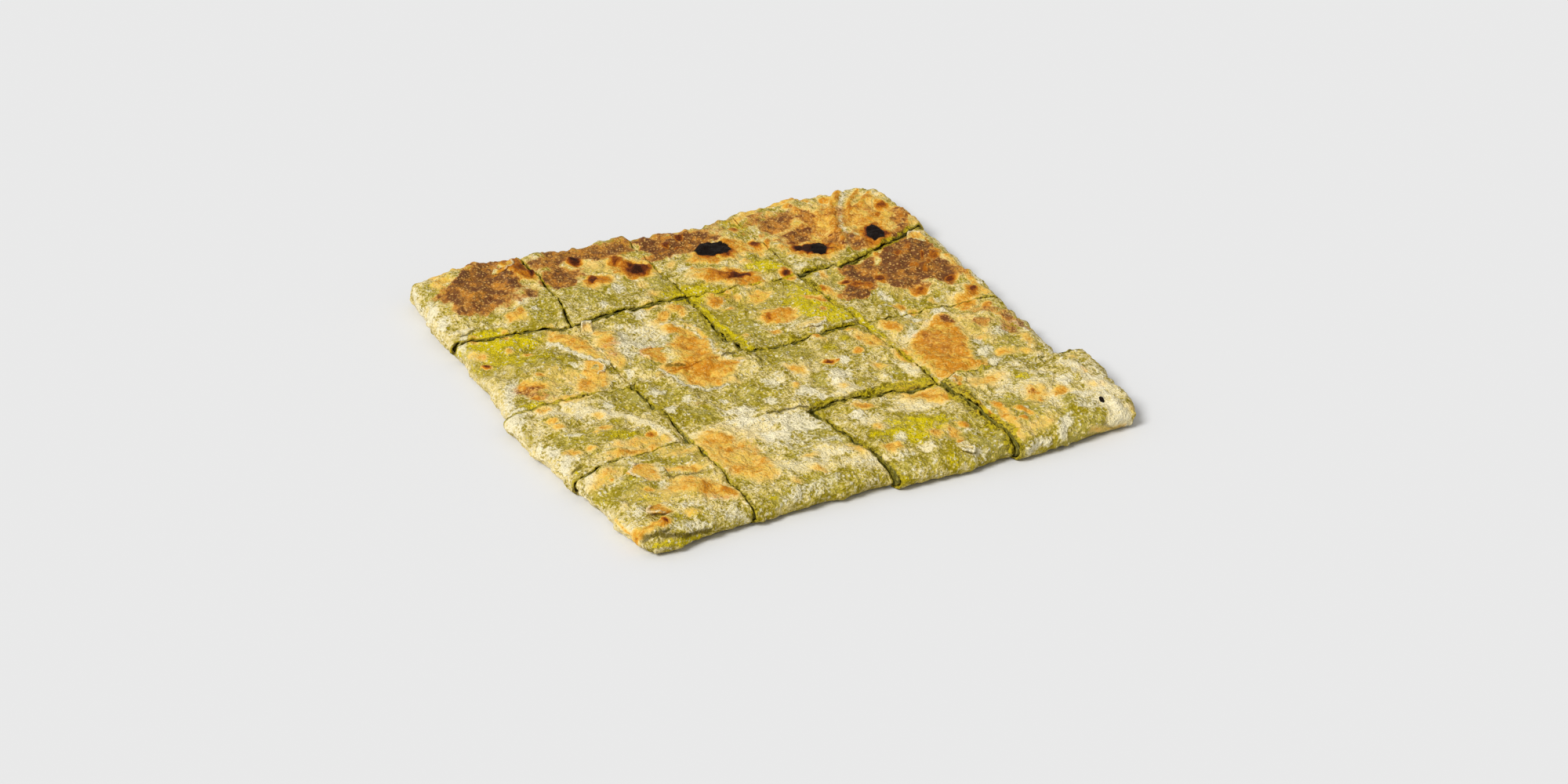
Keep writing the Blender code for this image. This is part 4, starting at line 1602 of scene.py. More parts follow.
# Patches of the sheet, by what they are of: the pixel of the middle across and down, half length,
# half width, turn, strength and, for a blister, its rise
PATCHES = {
    TOAST: (
        (616, 356, 15.5, 8.5, 68, 0.85), (590, 376, 11, 8.5, -64, 0.75), (636, 373, 11, 7.5, -79, 0.75),
        (599, 393, 8, 5, -45, 0.8), (676, 375, 6, 4.5, 71, 0.6), (603, 340, 6, 3, 37, 0.6),
        (731, 325, 15, 7, 0, 0.75), (783, 313, 10, 5.5, 4, 0.6), (718, 353, 10.5, 9, 71, 0.85),
        (753, 330, 4.5, 3, -28, 0.9), (856, 311, 16.5, 10.5, -37, 0.95), (897, 302, 7, 4.5, -57, 0.9),
        (833, 330, 4, 3, -28, 0.8), (960, 282, 6.5, 4.5, 37, 0.6), (1002, 274, 6.5, 5.5, 10, 0.6),
        (1025, 276, 6, 5, 59, 0.7), (1048, 297, 5.5, 4.5, 60, 0.5), (985, 288, 12, 7, 20, 0.75),
        (1040, 287, 26, 13, 10, 0.4), (1018, 303, 9, 6, 40, 0.97), (1064, 307, 5.5, 4, 61, 0.85),
        (1090, 306, 7, 5.5, -73, 0.85), (1144, 280, 7.5, 4, 60, 0.8), (1109, 268, 6.5, 3, 61, 0.6),
        (1158, 347, 15, 9, 60, 0.92), (1152, 301, 8.5, 4, 61, 0.92), (1177, 309, 7.5, 3.5, 66, 0.92),
        (1209, 345, 10, 6, 87, 0.7), (1087, 347, 8, 5, 61, 1), (1108, 339, 7, 3.5, 61, 0.9),
        (1091, 372, 6.5, 4.5, -25, 0.95), (682, 500, 8, 3.5, -47, 0.5), (928, 376, 5.5, 5, 64, 0.35),
        (1208, 408, 4, 2.5, 83, 0.8), (1186, 433, 5.5, 4.5, 54, 0.55), (1208, 442, 8, 7, 52, 0.42),
        (1252, 408, 5, 3, -25, 0.6), (1281, 402, 5.5, 3, -79, 0.65), (1289, 418, 4.5, 3.5, -21, 0.55),
        (896, 515, 3, 2.5, -27, 0.4), (1319, 498, 3.5, 2.5, 54, 0.35), (880, 300, 22, 8, 10, 0.45),
        (1262, 392, 8, 4, -30, 0.55), (1292, 412, 8, 4, -30, 0.5),
    ),
    GOLD: (
        (566, 361, 6.5, 4.5, 32, 0.42), (573, 380, 4.5, 3.5, 74, 0.45), (634, 380, 4, 3, 70, 0.5),
        (608, 391, 2.5, 2.5, -56, 0.6), (656, 329, 4, 3, 11, 0.42), (666, 345, 9.5, 4.5, -88, 0.85, 0.4),
        (678, 351, 4.5, 2, 86, 1), (658, 356, 5, 2, -86, 0.5), (659, 403, 4.5, 4, -34, 0.5),
        (664, 396, 2.5, 2, 72, 0.55), (732, 334, 5, 3.5, 69, 1, 0.5), (785, 332, 4.5, 4, 70, 0.85, 0.4),
        (809, 345, 8.5, 7, -56, 1, 0.9), (761, 358, 6.5, 5.5, 9, 0.72, 0.6), (756, 358, 4.5, 2.5, 52, 0.95),
        (824, 331, 3, 2, 66, 0.4), (821, 364, 3, 3, -33, 0.3), (833, 376, 4.5, 2.5, 18, 0.35),
        (864, 303, 4.5, 2.5, 65, 0.95, 0.3), (849, 312, 3.5, 2.5, 65, 0.9), (868, 318, 3, 2.5, -27, 0.95),
        (909, 326, 9, 7.5, -27, 0.55), (857, 338, 5, 2.5, 65, 0.35), (928, 354, 14, 7, -35, 0.75, 0.9),
        (943, 353, 7, 4.5, 0, 0.98), (935, 294, 3.5, 2, 63, 0.75), (963, 311, 6, 2.5, 86, 0.92, 0.3),
        (978, 310, 3, 1.5, 63, 0.7), (1002, 349, 4, 2.5, -85, 0.95), (966, 322, 4.5, 4, -21, 0.42),
        (951, 333, 3, 2, -26, 0.42), (1014, 269, 2.5, 2.5, 58, 0.6), (1002, 264, 2.5, 2.5, -22, 0.5),
        (1052, 257, 4, 3, -73, 0.55), (1027, 257, 3.5, 2, 8, 0.42), (1041, 285, 3.5, 2.5, 61, 0.42),
        (981, 273, 3, 2, 62, 0.4), (959, 274, 3.5, 2.5, 19, 0.38), (965, 288, 5, 1, 63, 0.4),
        (1018, 289, 5, 2, -65, 0.42), (1031, 318, 9.5, 7, -39, 1.15, 0.9), (1115, 297, 12, 6.5, 74, 1.0),
        (1083, 266, 3.5, 1.5, 62, 0.75), (1124, 261, 3.5, 3, -73, 0.88, 0.35),
        (1119, 274, 3, 2, 59, 0.72, 0.3), (1149, 276, 3.5, 2.5, -85, 0.7, 0.3), (1108, 251, 6, 2.5, 61, 0.5),
        (979, 310, 4, 1, 63, 0.6), (1157, 314, 5.5, 1.5, 61, 0.78), (1146, 322, 4, 2.5, 60, 0.85, 0.3),
        (1190, 324, 6.5, 3, 50, 0.8), (1185, 334, 3.5, 1.5, 60, 0.88), (1176, 325, 4, 1, 61, 0.88, 0.3),
        (1213, 357, 4.5, 3, 44, 0.88, 0.3), (1166, 339, 3.5, 3.5, 29, 0.72), (1179, 347, 5, 2, 60, 0.8),
        (1123, 356, 5, 3.5, 59, 0.92, 0.4), (1079, 362, 2.5, 2.5, 55, 0.95), (1100, 364, 5.5, 3, -41, 0.88),
        (1104, 354, 6.5, 2.5, -90, 0.5), (1171, 370, 4, 3.5, 35, 0.8, 0.4), (1240, 371, 7, 3.5, 64, 0.7),
        (1240, 370, 4, 2, 59, 0.9), (1230, 385, 6.5, 5, 57, 0.5), (1119, 325, 3, 2, 59, 0.65),
        (1049, 352, 4.5, 2.5, 80, 0.42), (1049, 368, 2.5, 1.5, 90, 0.75), (1058, 373, 6.5, 3.5, -69, 0.45),
        (1132, 382, 4, 1.5, -79, 0.4), (1147, 392, 3.5, 3, 57, 0.52), (1188, 383, 3, 2, 89, 0.42),
        (1164, 401, 3.5, 2.5, 57, 0.5), (601, 432, 3, 3, -74, 0.42), (645, 428, 3, 2, 69, 0.5),
        (609, 454, 4, 3.5, -47, 0.36), (649, 449, 2, 1.5, -29, 0.5), (674, 454, 2.5, 2, -31, 0.45),
        (620, 469, 2.5, 1.5, -78, 0.95), (690, 479, 2, 2, -38, 0.68), (679, 494, 9, 4.5, -41, 0.5),
        (728, 438, 17, 3.5, -79, 0.5), (757, 483, 6.5, 6, 82, 0.42), (749, 498, 5, 3, -13, 0.42),
        (685, 510, 3, 1.5, -15, 0.62), (723, 512, 8.5, 3.5, -8, 0.42), (775, 439, 11.5, 5, 79, 0.5),
        (792, 464, 5.5, 2, 65, 0.42), (826, 394, 5, 3, 9, 0.42), (862, 392, 5, 4, -75, 0.52),
        (848, 404, 8, 2.5, 31, 0.44), (862, 421, 8, 4, -61, 0.52), (897, 431, 8, 1.5, 83, 0.45),
        (881, 447, 9, 7.5, -65, 0.56), (913, 448, 4.5, 1.5, -85, 0.42), (889, 472, 14.5, 5.5, -15, 0.6),
        (905, 486, 10, 6, -18, 0.42), (934, 462, 4.5, 3, -27, 0.46), (911, 382, 5.5, 3.5, 64, 0.62, 0.3),
        (930, 371, 2, 1.5, 64, 0.42), (941, 379, 2.5, 2, 63, 0.44), (967, 381, 5.5, 4.5, 24, 0.5, 0.3),
        (967, 380, 1.5, 1.5, -25, 0.65), (931, 394, 3, 2, -27, 0.42), (1043, 382, 9.5, 2, -38, 0.5),
        (1048, 394, 2, 2, -18, 0.62), (991, 400, 8.5, 6, -26, 0.44, 0.3), (980, 405, 3.5, 1.5, 71, 0.8),
        (989, 425, 3, 2.5, -22, 0.5), (951, 428, 3.5, 1.5, 63, 0.45), (1083, 420, 4, 1, -15, 0.5),
        (1043, 429, 4, 2, -66, 0.5), (1111, 436, 8.5, 5.5, -81, 0.5), (1095, 447, 2.5, 2, -82, 0.62),
        (1154, 456, 10, 3.5, 90, 0.46), (1122, 466, 5, 3, -55, 0.42), (1017, 469, 4.5, 4.5, 19, 0.46),
        (1058, 464, 2.5, 2, -25, 0.88), (1069, 459, 1, 1, -7, 0.85), (1076, 492, 3, 2.5, -24, 0.38),
        (1017, 492, 3, 2, 62, 0.44), (1207, 415, 8, 4, 60, 0.62), (1202, 439, 10, 8.5, 53, 0.62),
        (1208, 458, 10, 7.5, -23, 0.58), (1223, 471, 6.5, 5, -23, 0.56), (1186, 442, 8.5, 5, -89, 0.52),
        (1202, 477, 3.5, 3, -2, 0.45), (1252, 461, 5, 4.5, 24, 0.44), (1231, 389, 5, 4.5, -16, 0.6),
        (1258, 393, 3.5, 3, 40, 0.56), (1281, 403, 6.5, 3.5, -82, 0.42), (1311, 431, 6.5, 3, 87, 0.42),
        (1252, 430, 3.5, 3.5, -11, 0.36), (1281, 447, 5.5, 4, -22, 0.42), (1311, 447, 4.5, 2.5, -25, 0.4),
        (1136, 415, 6, 3.5, -73, 0.56), (1149, 393, 3.5, 2.5, 58, 0.55), (1164, 401, 3.5, 2.5, 58, 0.5),
        (729, 510, 6.5, 3.5, -14, 0.42), (705, 537, 3, 2, -31, 0.52), (693, 525, 3, 2, -28, 0.4),
        (763, 530, 3, 2, -28, 0.4), (769, 546, 3, 2, -29, 0.45), (713, 543, 3, 2, -28, 0.4),
        (759, 551, 2.5, 1.5, -28, 0.42), (831, 555, 2.5, 2, 66, 0.8, 0.3), (821, 565, 11, 3.5, -5, 0.43),
        (804, 578, 12.5, 2.5, -10, 0.44), (729, 579, 4.5, 2.5, -41, 0.46), (754, 571, 3, 1.5, -27, 0.42),
        (953, 523, 2.5, 2, 63, 0.32), (915, 564, 9.5, 8.5, -28, 0.44), (928, 576, 3, 2, 64, 0.64),
        (950, 569, 8, 5.5, -26, 0.4), (956, 599, 8.5, 6.5, -26, 0.46), (963, 576, 4, 3.5, -26, 0.42),
        (977, 603, 3.5, 3, 62, 0.46), (1034, 581, 3.5, 2, 0, 0.43), (1090, 572, 6, 4, -78, 0.4),
        (1102, 570, 3.5, 1.5, -71, 0.52), (1016, 614, 3, 2.5, -24, 0.4), (1045, 598, 4, 2.5, -26, 0.38),
        (866, 577, 8, 4, -27, 0.34), (875, 598, 7.5, 3, -27, 0.46), (892, 619, 15, 6, -45, 0.48),
        (930, 627, 4, 2.5, -72, 0.62), (772, 610, 7.5, 4, 25, 0.4), (780, 612, 1, 1, -36, 0.68),
        (804, 603, 1.5, 1, -28, 0.72), (827, 625, 2.5, 1.5, -27, 0.56), (848, 667, 1.5, 1, -78, 1),
        (884, 651, 4.5, 2.5, -27, 0.38), (1183, 507, 15, 6, -38, 0.46), (1169, 501, 6.5, 3, -26, 0.5),
        (1099, 518, 5.5, 3, -26, 0.5), (1192, 551, 3.5, 3, -23, 0.52), (1229, 540, 3.5, 2, -56, 0.64),
        (1219, 557, 7, 3.5, 87, 0.43), (1226, 564, 2, 2, 29, 0.58), (1119, 544, 3, 3, -19, 0.42),
        (1140, 571, 4.5, 3.5, -23, 0.5), (1442, 524, 9, 4, 60, 0.26), (1325, 542, 14, 4, 15, 0.32),
        (1258, 486, 9, 5, 1, 0.4), (1353, 498, 4.5, 4, 75, 0.47), (1321, 503, 7, 4.5, 56, 0.43),
        (1328, 511, 2, 1, -25, 0.62), (1306, 523, 5, 1.5, -59, 0.52), (1286, 532, 11, 4, 86, 0.42),
        (1275, 520, 7, 2, -88, 0.5), (1306, 532, 2, 1, -25, 0.68), (1387, 475, 5.5, 3, -80, 0.38),
        (1399, 488, 4, 3, -22, 0.36), (1367, 455, 3, 3, -5, 0.36), (1060, 280, 34, 17, 10, 0.46),
        (917, 321, 13, 8, 10, 0.9), (1047, 319, 10, 6.5, 20, 0.9), (1125, 275, 16, 20, 0, 0.44),
        (615, 372, 26, 16, 10, 0.32), (755, 340, 24, 12, 0, 0.3), (865, 305, 24, 12, 0, 0.34),
        (1160, 350, 26, 20, 0, 0.32), (1095, 345, 12, 12, 0, 0.3), (1215, 420, 26, 24, 0, 0.28),
        (700, 485, 20, 10, 0, 0.26), (935, 575, 22, 18, 0, 0.28), (870, 620, 24, 10, 0, 0.28),
        (1165, 500, 13, 4.5, -10, 0.4),
    ),
    PALE: (
        (667, 383, 3.5, 3, 78, 0.9), (593, 423, 8, 2.5, -3, 0.7), (783, 378, 10.5, 7, -28, 0.3),
        (869, 341, 3.5, 3.5, -34, 0.8), (928, 337, 8.5, 3.5, -27, 0.6), (1033, 251, 14, 2.5, 0, 0.9),
        (1110, 246, 4, 2, -49, 0.9), (1148, 266, 6, 1.5, 90, 0.9), (1022, 339, 3.5, 3, -25, 0.9),
        (999, 295, 4, 3.5, -19, 0.8), (1223, 333, 9, 1.5, 87, 0.9), (1202, 308, 7.5, 1, 84, 0.9),
        (1139, 373, 3.5, 2.5, -24, 0.5), (599, 449, 3.5, 3.5, 86, 0.9), (644, 489, 6, 3, 67, 0.5),
        (768, 499, 4, 2.5, 35, 0.6), (826, 418, 6.5, 3.5, 2, 0.8), (881, 399, 4, 3, -27, 0.6),
        (1160, 469, 8, 3, 89, 0.85), (1017, 469, 6, 5.5, 56, 0.9), (1078, 492, 5.5, 5.5, 29, 1),
        (1154, 436, 3.5, 2, 60, 0.9), (1318, 428, 8, 3.5, 73, 0.6), (746, 528, 16.5, 4, -33, 0.95),
        (680, 546, 8.5, 3.5, 85, 0.7), (997, 488, 5.5, 2.5, 73, 0.7), (909, 553, 12.5, 3.5, -27, 0.95),
        (959, 546, 13, 12, -25, 0.9), (1104, 588, 12, 7, -20, 0.75), (754, 617, 5, 3, 66, 0.9),
        (789, 637, 8.5, 3.5, -84, 0.7), (892, 643, 10, 4.5, -27, 0.6), (1129, 537, 13.5, 4, -37, 0.85),
        (1183, 568, 4, 3, -23, 0.85), (1316, 490, 25.5, 17, -59, 0.72), (1353, 498, 6, 5, 47, 0.95),
        (1405, 485, 12, 5, -60, 1), (1432, 525, 12, 6, -60, 1.2), (1421, 533, 8.5, 3, 66, 0.9),
        (1045, 580, 12, 7, 0, 0.85), (1025, 590, 16, 8, -15, 0.8), (1180, 515, 16, 6, -10, 0.8),
        (832, 425, 9, 6, 0, 0.75),
    ),
    FLOUR: (
        (684, 394, 2.5, 1.5, -75, 1), (550, 398, 7, 3.5, 71, 1), (565, 414, 5, 2.5, 68, 1),
        (534, 391, 10.5, 2, 68, 0.9), (789, 368, 3, 2.5, 71, 1), (771, 388, 2.5, 1.5, 67, 1),
        (869, 343, 3, 2, 65, 0.9), (1043, 350, 2, 1.5, 61, 0.7), (1131, 381, 5, 2, -82, 1),
        (1154, 402, 4.5, 1.5, -70, 0.9), (1196, 383, 3, 1, 18, 0.6), (590, 438, 6.5, 1.5, 67, 0.9),
        (731, 465, 2, 1, -56, 1), (652, 502, 8, 2.5, 67, 0.9), (658, 526, 4, 2, -28, 0.9),
        (794, 431, 4.5, 2.5, 73, 0.8), (799, 447, 2.5, 2, 66, 0.8), (815, 400, 5, 2.5, 65, 0.95),
        (810, 423, 3, 3, -36, 0.9), (791, 416, 2.5, 1.5, -28, 0.9), (813, 439, 4, 2, -14, 0.9),
        (819, 450, 4, 2, 0, 0.9), (835, 453, 2.5, 2, -28, 0.8), (803, 475, 3.5, 1.5, 65, 0.9),
        (834, 499, 4.5, 2, 39, 0.9), (1045, 419, 3, 1.5, 69, 0.9), (982, 419, 1, 0.5, 62, 1),
        (1005, 423, 1, 0.5, 61, 1), (965, 415, 1, 1, -25, 1), (1009, 416, 5, 3.5, -26, 0.5),
        (1076, 459, 3, 2, 61, 0.95), (1069, 474, 6, 4, 61, 1), (1029, 497, 5, 4, 61, 0.95),
        (1051, 506, 2, 2, 8, 0.9), (1065, 510, 2, 1.5, 60, 0.9), (1267, 462, 2.5, 2, 40, 0.9),
        (1199, 396, 3, 2.5, -6, 0.9), (1164, 424, 5.5, 2.5, 54, 0.7), (1255, 445, 4.5, 3, 57, 0.85),
        (1246, 436, 2.5, 2, 54, 0.85), (1274, 420, 5, 3.5, 56, 0.75), (1129, 390, 3, 1, -26, 0.9),
        (1168, 408, 3, 1.5, -26, 0.9), (657, 536, 6.5, 4, 69, 1), (652, 513, 9, 2, 67, 0.8),
        (776, 516, 3.5, 1.5, 84, 1), (733, 555, 3.5, 1, -27, 0.9), (705, 576, 5, 2.5, -78, 0.95),
        (720, 594, 4.5, 3.5, 71, 0.95), (688, 573, 5, 2.5, 67, 0.6), (838, 500, 5, 2.5, 44, 0.95),
        (855, 521, 3.5, 2, 65, 0.95), (924, 513, 2, 1.5, -27, 0.95), (929, 525, 2.5, 2.5, 64, 0.95),
        (876, 511, 2.5, 2.5, -30, 0.6), (956, 523, 4.5, 3, 63, 0.9), (984, 511, 2.5, 2.5, -24, 0.95),
        (986, 490, 5.5, 3, -76, 0.75), (1017, 540, 9.5, 7, -46, 0.95), (951, 536, 5, 4.5, -26, 0.9),
        (1013, 537, 8.5, 5.5, -58, 0.95), (995, 556, 6.5, 4, -26, 0.95), (950, 524, 5, 4.5, 63, 0.85),
        (1059, 558, 3.5, 3, -25, 0.85), (1081, 574, 3.5, 3, 57, 0.5), (1049, 617, 9, 3, 13, 0.5),
        (1022, 628, 7.5, 3, 15, 0.6), (823, 603, 3, 1.5, -27, 0.8), (844, 617, 3.5, 3, 68, 0.6),
        (816, 653, 5, 3, 65, 0.6), (918, 637, 8, 3, -49, 0.5), (875, 643, 4, 2.5, -27, 0.6),
        (884, 670, 7.5, 2.5, -6, 0.6), (935, 656, 7.5, 3.5, -27, 0.6), (1094, 530, 3.5, 3, -24, 0.85),
        (1149, 559, 3, 2.5, 47, 0.85), (1233, 548, 4.5, 3.5, -17, 0.5), (1244, 577, 4, 3, 23, 0.6),
        (1156, 580, 4, 3.5, -20, 0.5), (1395, 472, 12, 8, -60, 0.5), (1290, 460, 14, 5, -30, 0.4),
        (1359, 483, 3.5, 3, 49, 0.85), (1374, 501, 3, 2.5, 40, 0.85), (1382, 518, 3, 2, -24, 0.9),
        (1425, 515, 14, 4, -60, 0.5), (1359, 543, 7, 2, 47, 1), (1319, 571, 7.5, 2.5, 14, 0.8),
        (1000, 562, 14, 8, -15, 0.5), (832, 428, 8, 4, 0, 0.4), (1395, 508, 9, 6, 30, 0.6),
        (810, 438, 15, 7, 0, 0.75),
    ),
    WET: (
        (629, 425, 6.5, 3, -15, 0.9), (606, 428, 6, 3, -27, 0.8), (937, 293, 10, 7.5, 63, 0.7),
        (972, 337, 8, 7, -25, 0.95), (972, 303, 4.5, 3, 62, 0.4), (1033, 344, 6.5, 2.5, -6, 0.9),
        (1035, 347, 6, 4.5, 34, 0.6), (1196, 379, 5.5, 4, -77, 0.5), (1164, 402, 3, 2.5, 58, 0.7),
        (640, 436, 17, 7, -20, 1.1), (617, 440, 9, 6, -20, 0.9), (652, 456, 20, 13, -30, 0.75),
        (716, 470, 6, 3, -27, 0.55), (695, 499, 5, 3.5, -30, 0.5), (679, 518, 7.5, 2, -9, 0.9),
        (826, 464, 4.5, 3, -27, 0.5), (1020, 384, 14.5, 11, -84, 0.8), (1051, 399, 11.5, 7, -26, 1),
        (982, 341, 7.5, 5.5, -26, 0.9), (954, 402, 3, 2.5, -26, 0.5), (928, 416, 2.5, 2, 64, 0.6),
        (1074, 416, 6, 2, -15, 1), (1078, 431, 5, 3, -26, 0.7), (1056, 444, 5, 4.5, -23, 0.7),
        (1044, 458, 4.5, 3.5, -25, 0.4), (1101, 486, 6.5, 3.5, 61, 0.5), (1266, 455, 8, 5, 20, 0.35),
        (1261, 467, 3.5, 2.5, 55, 0.5), (1248, 474, 3.5, 2.5, 55, 0.6), (746, 551, 4, 2, -27, 0.6),
        (789, 538, 4, 2.5, -28, 0.6), (796, 555, 12.5, 4.5, -34, 0.7), (680, 516, 2.5, 2, -30, 0.8),
        (671, 558, 6.5, 3, 83, 0.45), (736, 603, 3, 2.5, -42, 0.7), (916, 551, 1.5, 1, -27, 0.8),
        (896, 548, 1.5, 1, -27, 0.7), (986, 633, 3.5, 3.5, 54, 0.5), (1075, 605, 5, 3, 61, 0.4),
        (866, 583, 9, 4.5, -28, 0.35), (789, 593, 6.5, 2, -9, 0.5), (810, 610, 3, 2, -27, 0.7),
        (823, 625, 4, 2, -27, 0.6), (832, 639, 6.5, 4.5, -62, 0.7), (837, 650, 2.5, 2.5, 80, 0.8),
        (866, 658, 4, 2.5, -27, 0.5), (906, 667, 3, 2.5, -28, 0.5), (1174, 546, 10.5, 6, -25, 0.95),
        (1236, 557, 4, 3.5, 39, 0.5), (1215, 580, 5.5, 3, 59, 0.6), (1154, 614, 3, 2.5, -20, 0.9),
        (1301, 480, 4.5, 2.5, -25, 0.85), (1296, 513, 5, 4, -73, 0.5), (925, 368, 14, 6, 0, 0.45),
        (965, 325, 10, 8, 0, 0.55), (968, 387, 22, 14, 0, 0.55), (888, 379, 16, 9, -15, 1.0),
        (1035, 392, 24, 10, -10, 0.4), (680, 458, 24, 12, 0, 0.42), (1040, 460, 22, 14, 0, 0.34),
        (835, 620, 20, 12, 0, 0.36), (1000, 360, 14, 7, -60, 0.6), (1135, 385, 10, 4, -20, 0.6),
        (1263, 568, 10, 6, 0, 0.4), (1172, 536, 13, 6, -10, 1), (1170, 549, 17, 7, -10, 1),
        (1200, 545, 12, 6, -10, 0.6), (1294, 521, 9, 6, 0, 0.45),
    ),
    GREEN: (
        (691, 406, 12.5, 8, 68, 0.5), (616, 404, 6, 4.5, -30, 0.4), (550, 378, 7, 3, 69, 0.5),
        (760, 376, 10.5, 9.5, -33, 0.4), (765, 345, 5, 3.5, -29, 0.6), (839, 363, 7, 5.5, 66, 0.5),
        (905, 341, 5.5, 5.5, -50, 0.5), (1062, 350, 7, 3.5, 61, 0.7), (1142, 385, 15, 6.5, -74, 0.5),
        (716, 464, 11, 7.5, -65, 0.6), (700, 483, 6, 6, 83, 0.5), (799, 405, 5, 4, 68, 0.6),
        (842, 439, 6.5, 5, -52, 0.8), (913, 423, 13.5, 6, 77, 0.6), (889, 405, 6, 5, 65, 0.4),
        (829, 513, 10.5, 4, -85, 0.5), (951, 422, 8.5, 6.5, -86, 0.6), (936, 403, 5, 4, -26, 0.7),
        (994, 447, 10.5, 8.5, 62, 0.6), (1047, 486, 7, 2.5, 62, 0.6), (1038, 515, 3, 2, 61, 0.7),
        (1145, 476, 6.5, 2.5, -70, 0.7), (1240, 420, 3.5, 2.5, -23, 0.8), (1293, 434, 7, 5.5, -20, 0.5),
        (1268, 453, 11, 7, 20, 1), (1171, 389, 4.5, 3.5, -23, 0.7), (1164, 414, 3.5, 2.5, 56, 0.6),
        (812, 508, 10, 9, -32, 0.8), (738, 561, 10, 4.5, -27, 0.5), (860, 505, 6, 5.5, -36, 0.6),
        (893, 528, 7.5, 5.5, -27, 0.8), (959, 505, 10, 8.5, -26, 0.5), (1040, 551, 8, 6.5, 89, 0.6),
        (1031, 581, 8, 5.5, -25, 0.5), (1066, 560, 6.5, 4.5, -58, 0.5), (1066, 610, 11.5, 4.5, 6, 0.5),
        (995, 639, 6, 3, 12, 0.6), (863, 581, 10, 6, -28, 1), (772, 634, 9, 5, -60, 0.7),
        (823, 598, 7, 3.5, -3, 0.5), (827, 629, 10, 8, -29, 0.6), (851, 634, 3.5, 2, 25, 0.7),
        (875, 663, 7.5, 4, -2, 0.5), (1111, 519, 4.5, 2.5, -55, 0.4), (1240, 555, 6, 3.5, 88, 0.9),
        (1124, 555, 3.5, 3, -24, 0.7), (1169, 587, 12, 5.5, 9, 0.5), (1293, 472, 2.5, 1.5, -23, 0.8),
        (1331, 478, 2.5, 2, -16, 0.8), (1316, 470, 2, 1.5, -22, 0.7), (1293, 490, 2.5, 1.5, 57, 0.8),
        (1293, 513, 5, 4, -73, 1), (1316, 523, 5, 2, -61, 0.9), (1366, 510, 7, 5, -62, 0.5),
        (1374, 530, 8, 7, 29, 0.55), (1349, 530, 4.5, 4, 46, 0.5), (1399, 523, 8.5, 3, 58, 0.6),
        (1374, 556, 10, 3.5, 22, 0.7), (1349, 566, 7.5, 3, 15, 0.7), (1329, 546, 4, 3.5, -6, 0.5),
        (865, 582, 9, 5, 0, 0.7), (940, 418, 12, 6, 0, 0.7), (1262, 570, 13, 8, 0, 1),
        (1243, 552, 8, 6, 0, 0.8), (1295, 520, 12, 8, 0, 1),
    ),
    CHAR: (
        (909, 319, 8, 7, -9, 1, 0.6), (1045, 318, 6.5, 3.5, 57, 0.85, 0.4),
        (1116, 297, 7.5, 3.5, 73, 1, 0.3), (1086, 345, 5.5, 3, 61, 0.42), (1081, 369, 2.5, 2.5, 14, 0.4),
        (866, 466, 2, 1, -27, 0.5), (1406, 509, 1.5, 1, -84, 0.95),
    ),
}
